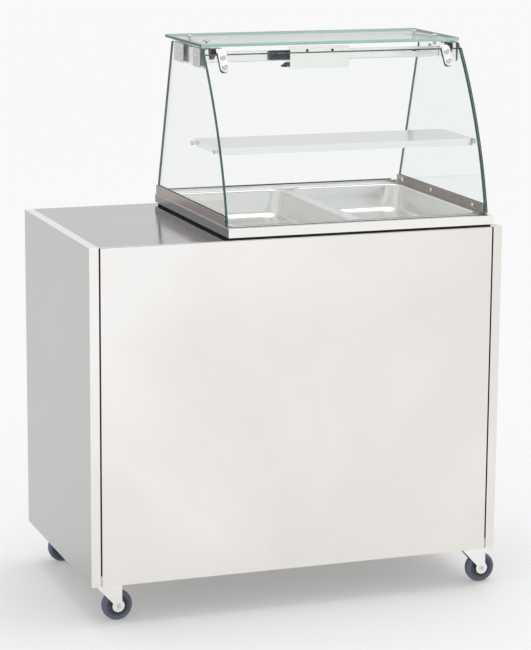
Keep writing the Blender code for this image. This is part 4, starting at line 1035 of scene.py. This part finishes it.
def tipRocker():
    low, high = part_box("rocker_switch")
    face, edge, gap = panelHigh.y, switch["bezelEdge"], switch["gap"]
    bezel, tip, marks = (bmesh.new() for _ in range(3))
    outer = roundedOutline((low.x - edge, low.z - edge), (high.x + edge, high.z + edge), 0.0030, 5)
    inner = roundedOutline((low.x - gap, low.z - gap), (high.x + gap, high.z + gap), 0.0010, 5)
    rows = [[bezel.verts.new((x, y, z)) for x, z in outline] for outline, y in
            ((inner, face + 0.0003), (outer, face + 0.0003), (outer, face + switch["bezelDepth"]),
             (inner, face + switch["bezelDepth"] + 0.0004))]
    joinRows(bezel, rows + rows[:1])
    bmesh.ops.recalc_face_normals(bezel, faces=bezel.faces)
    softPiece("rockerBezel", bezel, 0.0004, "cabinet", "black_plastic", "blackPlastic", angle=50)
    # the rocker's face dips in the middle, and its upper half is pressed in
    outline = [(face - 0.0003, low.z), (high.y, low.z)]
    for step in range(1, switch["steps"] + 1):
        t = step / switch["steps"]
        outline.append((high.y - switch["rock"] * math.sin(math.pi * t) - switch["lean"] * t,
                        low.z + (high.z - low.z) * t))
    outline.append((face - 0.0003, high.z))
    slab(tip, outline, high.x - low.x, depthAlongX(low.x))
    softPiece("rockerTip", tip, 0.0008, "rocker", "black_plastic", "blackPlastic", angle=30,
              standsFor=("rocker_switch",))
    lower = Matrix.Translation((0, high.y - 0.0009, 0)) @ turnedAboutY((low.x + high.x) / 2, low.z + 0.0065)
    upper = Matrix.Translation((0, -0.0009, high.z - low.z - 0.0130)) @ lower
    lathe(marks, ((0.0017, 0.0), (0.0024, 0.0), (0.0024, 0.0004), (0.0017, 0.0004)), lower, 24, True)
    slab(marks, [(-0.0004, -0.0022), (0.0004, -0.0022), (0.0004, 0.0022), (-0.0004, 0.0022)], 0.0004, upper)
    finishPiece("rockerMarks", marks, "rocker", "black_plastic", "markWhite")

def lightLamp():
    low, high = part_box("indicator_lamp")
    face, radius, foot = panelHigh.y, (high.x - low.x) / 2, low.y + 0.0004
    centre = turnedAboutY((low.x + high.x) / 2, (low.z + high.z) / 2)
    lens, bezel = bmesh.new(), bmesh.new()
    dome = [(radius * 0.80 * math.cos(a), high.y - 0.0026 + 0.0025 * math.sin(a))
            for a in (math.radians(step * 15) for step in range(6))]
    lathe(lens, [(0.0, foot), (radius * 0.62, foot), (radius * 0.62, face + 0.0006),
                 (radius * 0.80, face + 0.0006), *dome, (0.0, high.y - 0.0001)], centre, 40)
    finishPiece("lampLens", lens, "cabinet", "amber_lens", "amberLens", smooth=40,
                standsFor=("indicator_lamp",))
    lathe(bezel, [(radius * share, face + rise) for share, rise in
                  ((0.84, 0.0004), (1.10, 0.0004), (1.10, 0.0016), (0.98, 0.0028), (0.84, 0.0028))],
          centre, 40, True)
    finishPiece("lampBezel", bezel, "cabinet", "black_plastic", "brightZinc")

gland = {
    "ribs": 18, "rib": ((-0.0005, 0.0088), (0.0005, 0.0088), (0.0003, 0.0100), (-0.0003, 0.0100)),
    "ribLength": 0.0034, "ribFoot": 0.0060,
}

def screwGland():
    low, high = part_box("cable_gland")
    centre = turnedAboutY((low.x + high.x) / 2, (low.z + high.z) / 2)
    radius, face, reach = (high.x - low.x) / 2, panelHigh.y, high.y
    nut, dome, rib = (bmesh.new() for _ in range(3))
    lathe(nut, ((0.0074, face + 0.0003), (radius, face + 0.0003), (radius, face + 0.0044),
                (radius - 0.0008, face + 0.0052), (0.0074, face + 0.0052)), centre, 6, True)
    softPiece("glandNut", nut, 0.0005, "cabinet", "black_plastic", "blackPlastic", angle=30,
              standsFor=("cable_gland",))
    lathe(dome, ((0.0042, low.y + 0.0004), (0.0070, low.y + 0.0004), (0.0070, face + 0.0055),
                 (0.0094, face + 0.0058), (0.0094, face + 0.0095), (0.0088, face + 0.0120),
                 (0.0068, reach - 0.0004), (0.0052, reach), (0.0042, reach - 0.0004)), centre, 40, True)
    finishPiece("glandDome", dome, "cabinet", "black_plastic", "blackPlastic")
    slab(rib, gland["rib"], gland["ribLength"])
    place = centre @ Matrix.Translation((0, 0, face + gland["ribFoot"]))
    growRow("glandRibs", rib, gland["ribs"], (0, 0, 0), place, "cabinet", "black_plastic", "blackPlastic",
            0.0, 2 * math.pi / gland["ribs"])

tipRocker()
lightLamp()
screwGland()

louvres = {
    "count": 9, "pitch": 0.0095, "length": 0.085, "rise": 0.0030, "height": 0.0052, "left": -0.375,
    "foot": 0.795, "steps": 8,
    # distance from an end and how full the pressing is there
    "section": ((0.0, 0.05), (0.004, 0.8), (0.008, 1.0)),
    "screwEdge": (0.014, 0.012), "screwSeam": -0.010,
}

def ventPanel():
    # a column of pressed louvres and the panel's edge screws
    bm = bmesh.new()
    half, steps = louvres["length"] / 2, louvres["steps"]
    section = [(-half + inset, scale) for inset, scale in louvres["section"]]
    rows = []
    for end, scale in section + [(-x, scale) for x, scale in reversed(section)]:
        row = [bm.verts.new((end, 0, 0))]
        for step in range(steps + 1):
            angle = math.pi / 2 * step / steps
            row.append(bm.verts.new((end, louvres["rise"] * scale * math.cos(angle),
                                     louvres["height"] * (0.15 + 0.85 * scale) * math.sin(angle))))
        rows.append(row)
    joinRows(bm, rows)
    bm.faces.new(rows[0][::-1])
    bm.faces.new(rows[-1])
    bmesh.ops.recalc_face_normals(bm, faces=bm.faces)
    place = Matrix.Translation((louvres["left"], panelHigh.y + 0.0001, louvres["foot"]))
    growRow("panelLouvres", bm, louvres["count"], (0, 0, louvres["pitch"]), place, "cabinet",
            "brushed_stainless", "doorSteel", smooth=40)
    across, up = louvres["screwEdge"]
    spots = [((x, panelHigh.y + 0.0002, z), (0, 1, 0))
             for x in (panelLow.x + across, louvres["screwSeam"], panelHigh.x - across)
             for z in (panelLow.z + up, panelHigh.z - up)]
    fastenAt("panelScrews", spots, "panScrew", 1.1)

ventPanel()
print("operator side fitted")


# casters

casters = {
    "axleRadius": 0.0048, "hubWeb": 0.0050, "ribs": 8, "rib": 0.0009, "sidewallGroove": 0.0008,
    "plateBolts": (0.030, 0.021), "plateThickness": 0.0027, "plateCorner": 0.007,
}

def mirrored(profile):
    return profile + [(radius, -height) for radius, height in reversed(profile)]

def castWheel(corner):
    body = "wheel_" + corner
    axle = Vector(joints["wheel_spin_" + corner]["pos_m"])
    low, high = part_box("tyre_" + corner)
    centre = (Matrix.Translation((axle.x, (low.y + high.y) / 2, (low.z + high.z) / 2))
              @ Matrix.Rotation(math.pi / 2, 4, "X"))
    radius, half = (high.z - low.z) / 2, (high.y - low.y) / 2
    groove, web, bore = casters["sidewallGroove"], casters["hubWeb"], casters["axleRadius"]
    tyre, hub, rib = (bmesh.new() for _ in range(3))
    upper = [(0.0264, half - 0.0024), (0.0270, half - 0.0014), (0.0284, half - 0.0004), (0.0300, half),
             (0.0306, half - groove), (0.0314, half - groove), (0.0320, half - 0.0001),
             (0.0336, half - 0.0006), (0.0352, half - 0.0022), (0.0364, half - 0.0042),
             (0.0371, half - 0.0064), (radius, half - 0.0090), (radius, half - 0.0112),
             (radius - 0.0005, half - 0.0116)]
    lathe(tyre, mirrored(upper), centre, 72, True)
    finishPiece(titled("tyre_" + corner), tyre, body, "grey_rubber", "tyreRubber", smooth=40,
                standsFor=("tyre_" + corner,))
    outline = [(bore, 0.0124), (0.0088, 0.0124), (0.0098, 0.0116), (0.0102, 0.0062), (0.0112, web),
               (0.0212, web), (0.0222, 0.0060), (0.0226, 0.0090), (0.0234, 0.0096), (0.0256, 0.0096),
               (0.0262, 0.0088)]
    lathe(hub, mirrored(outline), centre, 56, True)
    name = titled("hub_" + corner)
    finishPiece(name, hub, body, "grey_nylon", "hubNylon", smooth=38, standsFor=("hub_" + corner,))
    thin = casters["rib"]
    for foot in (0.0046, -0.0082):
        slab(rib, [(-thin, 0.0098), (thin, 0.0098), (thin * 0.7, 0.0224), (-thin * 0.7, 0.0224)], 0.0036,
             Matrix.Translation((0, 0, foot)))
    growRow(name + "Ribs", rib, casters["ribs"], (0, 0, 0), centre, body, "grey_nylon", "hubNylon", 0.0,
            2 * math.pi / casters["ribs"])

def foldFork(corner):
    node = "fork_" + corner
    name = titled(node)
    low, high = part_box(node)
    axle = Vector(joints["wheel_spin_" + corner]["pos_m"])
    swivel = Vector(joints["swivel_" + corner]["pos_m"])
    mesh = softenEdges(name, partCopy(node), 0.0006)
    placePiece(name, mesh, node, "bright_zinc", "brightZinc", standsFor=(node,))
    spots = [((axle.x, y, axle.z), (0, aim, 0)) for y, aim in ((low.y - 0.0002, -1), (high.y + 0.0002, 1))]
    fastenAt(name + "AxleBolts", spots, "hexBolt", 0.62, node)
    crown = bmesh.new()
    place = Matrix.Translation((swivel.x, swivel.y, 0))
    lathe(crown, ((0.0, high.z - 0.0090), (0.0050, high.z - 0.0088), (0.0062, high.z - 0.0070),
                  (0.0062, high.z - 0.0028), (0.0, high.z - 0.0028)), place, 24)
    lathe(crown, ((0.0120, high.z - 0.0014), (0.0178, high.z - 0.0010), (0.0186, high.z - 0.0002),
                  (0.0186, high.z + 0.0002), (0.0120, high.z + 0.0002)), place, 40, True)
    finishPiece(name + "KingPin", crown, node, "bright_zinc", "boltSteel")

def boltPlate(corner):
    node = "caster_plate_" + corner
    low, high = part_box(node)
    swivel = Vector(joints["swivel_" + corner]["pos_m"])
    bottom = high.z - casters["plateThickness"]
    bm = bmesh.new()
    slab(bm, roundedOutline((low.x, low.y), (high.x, high.y), casters["plateCorner"], 6), high.z - bottom,
         Matrix.Translation((0, 0, bottom)))
    lathe(bm, ((0.0, low.z + 0.0004), (0.0170, low.z + 0.0002), (0.0206, low.z + 0.0008),
               (0.0238, low.z + 0.0022), (0.0245, low.z + 0.0040), (0.0245, bottom + 0.0003),
               (0.0, bottom + 0.0003)),
          Matrix.Translation((swivel.x, swivel.y, 0)), 48)
    softPiece(titled(node), bm, 0.0004, "cabinet", "bright_zinc", "brightZinc", angle=50, standsFor=(node,))
    across, along = casters["plateBolts"]
    return [((swivel.x + x, swivel.y + y, bottom - 0.0002), (0, 0, -1))
            for x in (-across, across) for y in (-along, along)]

plateSpots = []
for corner in corners:
    castWheel(corner)
    foldFork(corner)
    plateSpots += boltPlate(corner)
fastenAt("casterPlateBolts", plateSpots, "hexBolt", 0.95)

pedal = {"treads": 4, "pitch": 0.0034, "firstTread": 0.0132, "drop": 0.0040, "fall": (-0.0055, 0.0215)}

def brakePedal(side):
    node, body = "brake_pedal_" + side, "pedal_rear_" + side
    name = titled(node)
    low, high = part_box(node)
    mesh = softenEdges(name, partCopy(node), 0.0006)
    placePiece(name, mesh, body, "bright_zinc", "brightZinc", standsFor=(node,))
    tread = bmesh.new()
    slab(tread, roundedOutline((-0.0010, -0.0100), (0.0010, 0.0100), 0.0009, 3), 0.0008)
    first = (low.x + pedal["firstTread"], (low.y + high.y) / 2, high.z - pedal["drop"])
    place = Matrix.Translation(first) @ Matrix.Rotation(-math.atan2(*pedal["fall"]), 4, "Y")
    growRow(name + "Treads", tread, pedal["treads"], (pedal["pitch"], 0, 0), place, body, "bright_zinc",
            "blackPlastic")

for side, _ in sides:
    brakePedal(side)
print("casters assembled")


for bolt in bolts.values():
    bpy.data.objects.remove(bolt)
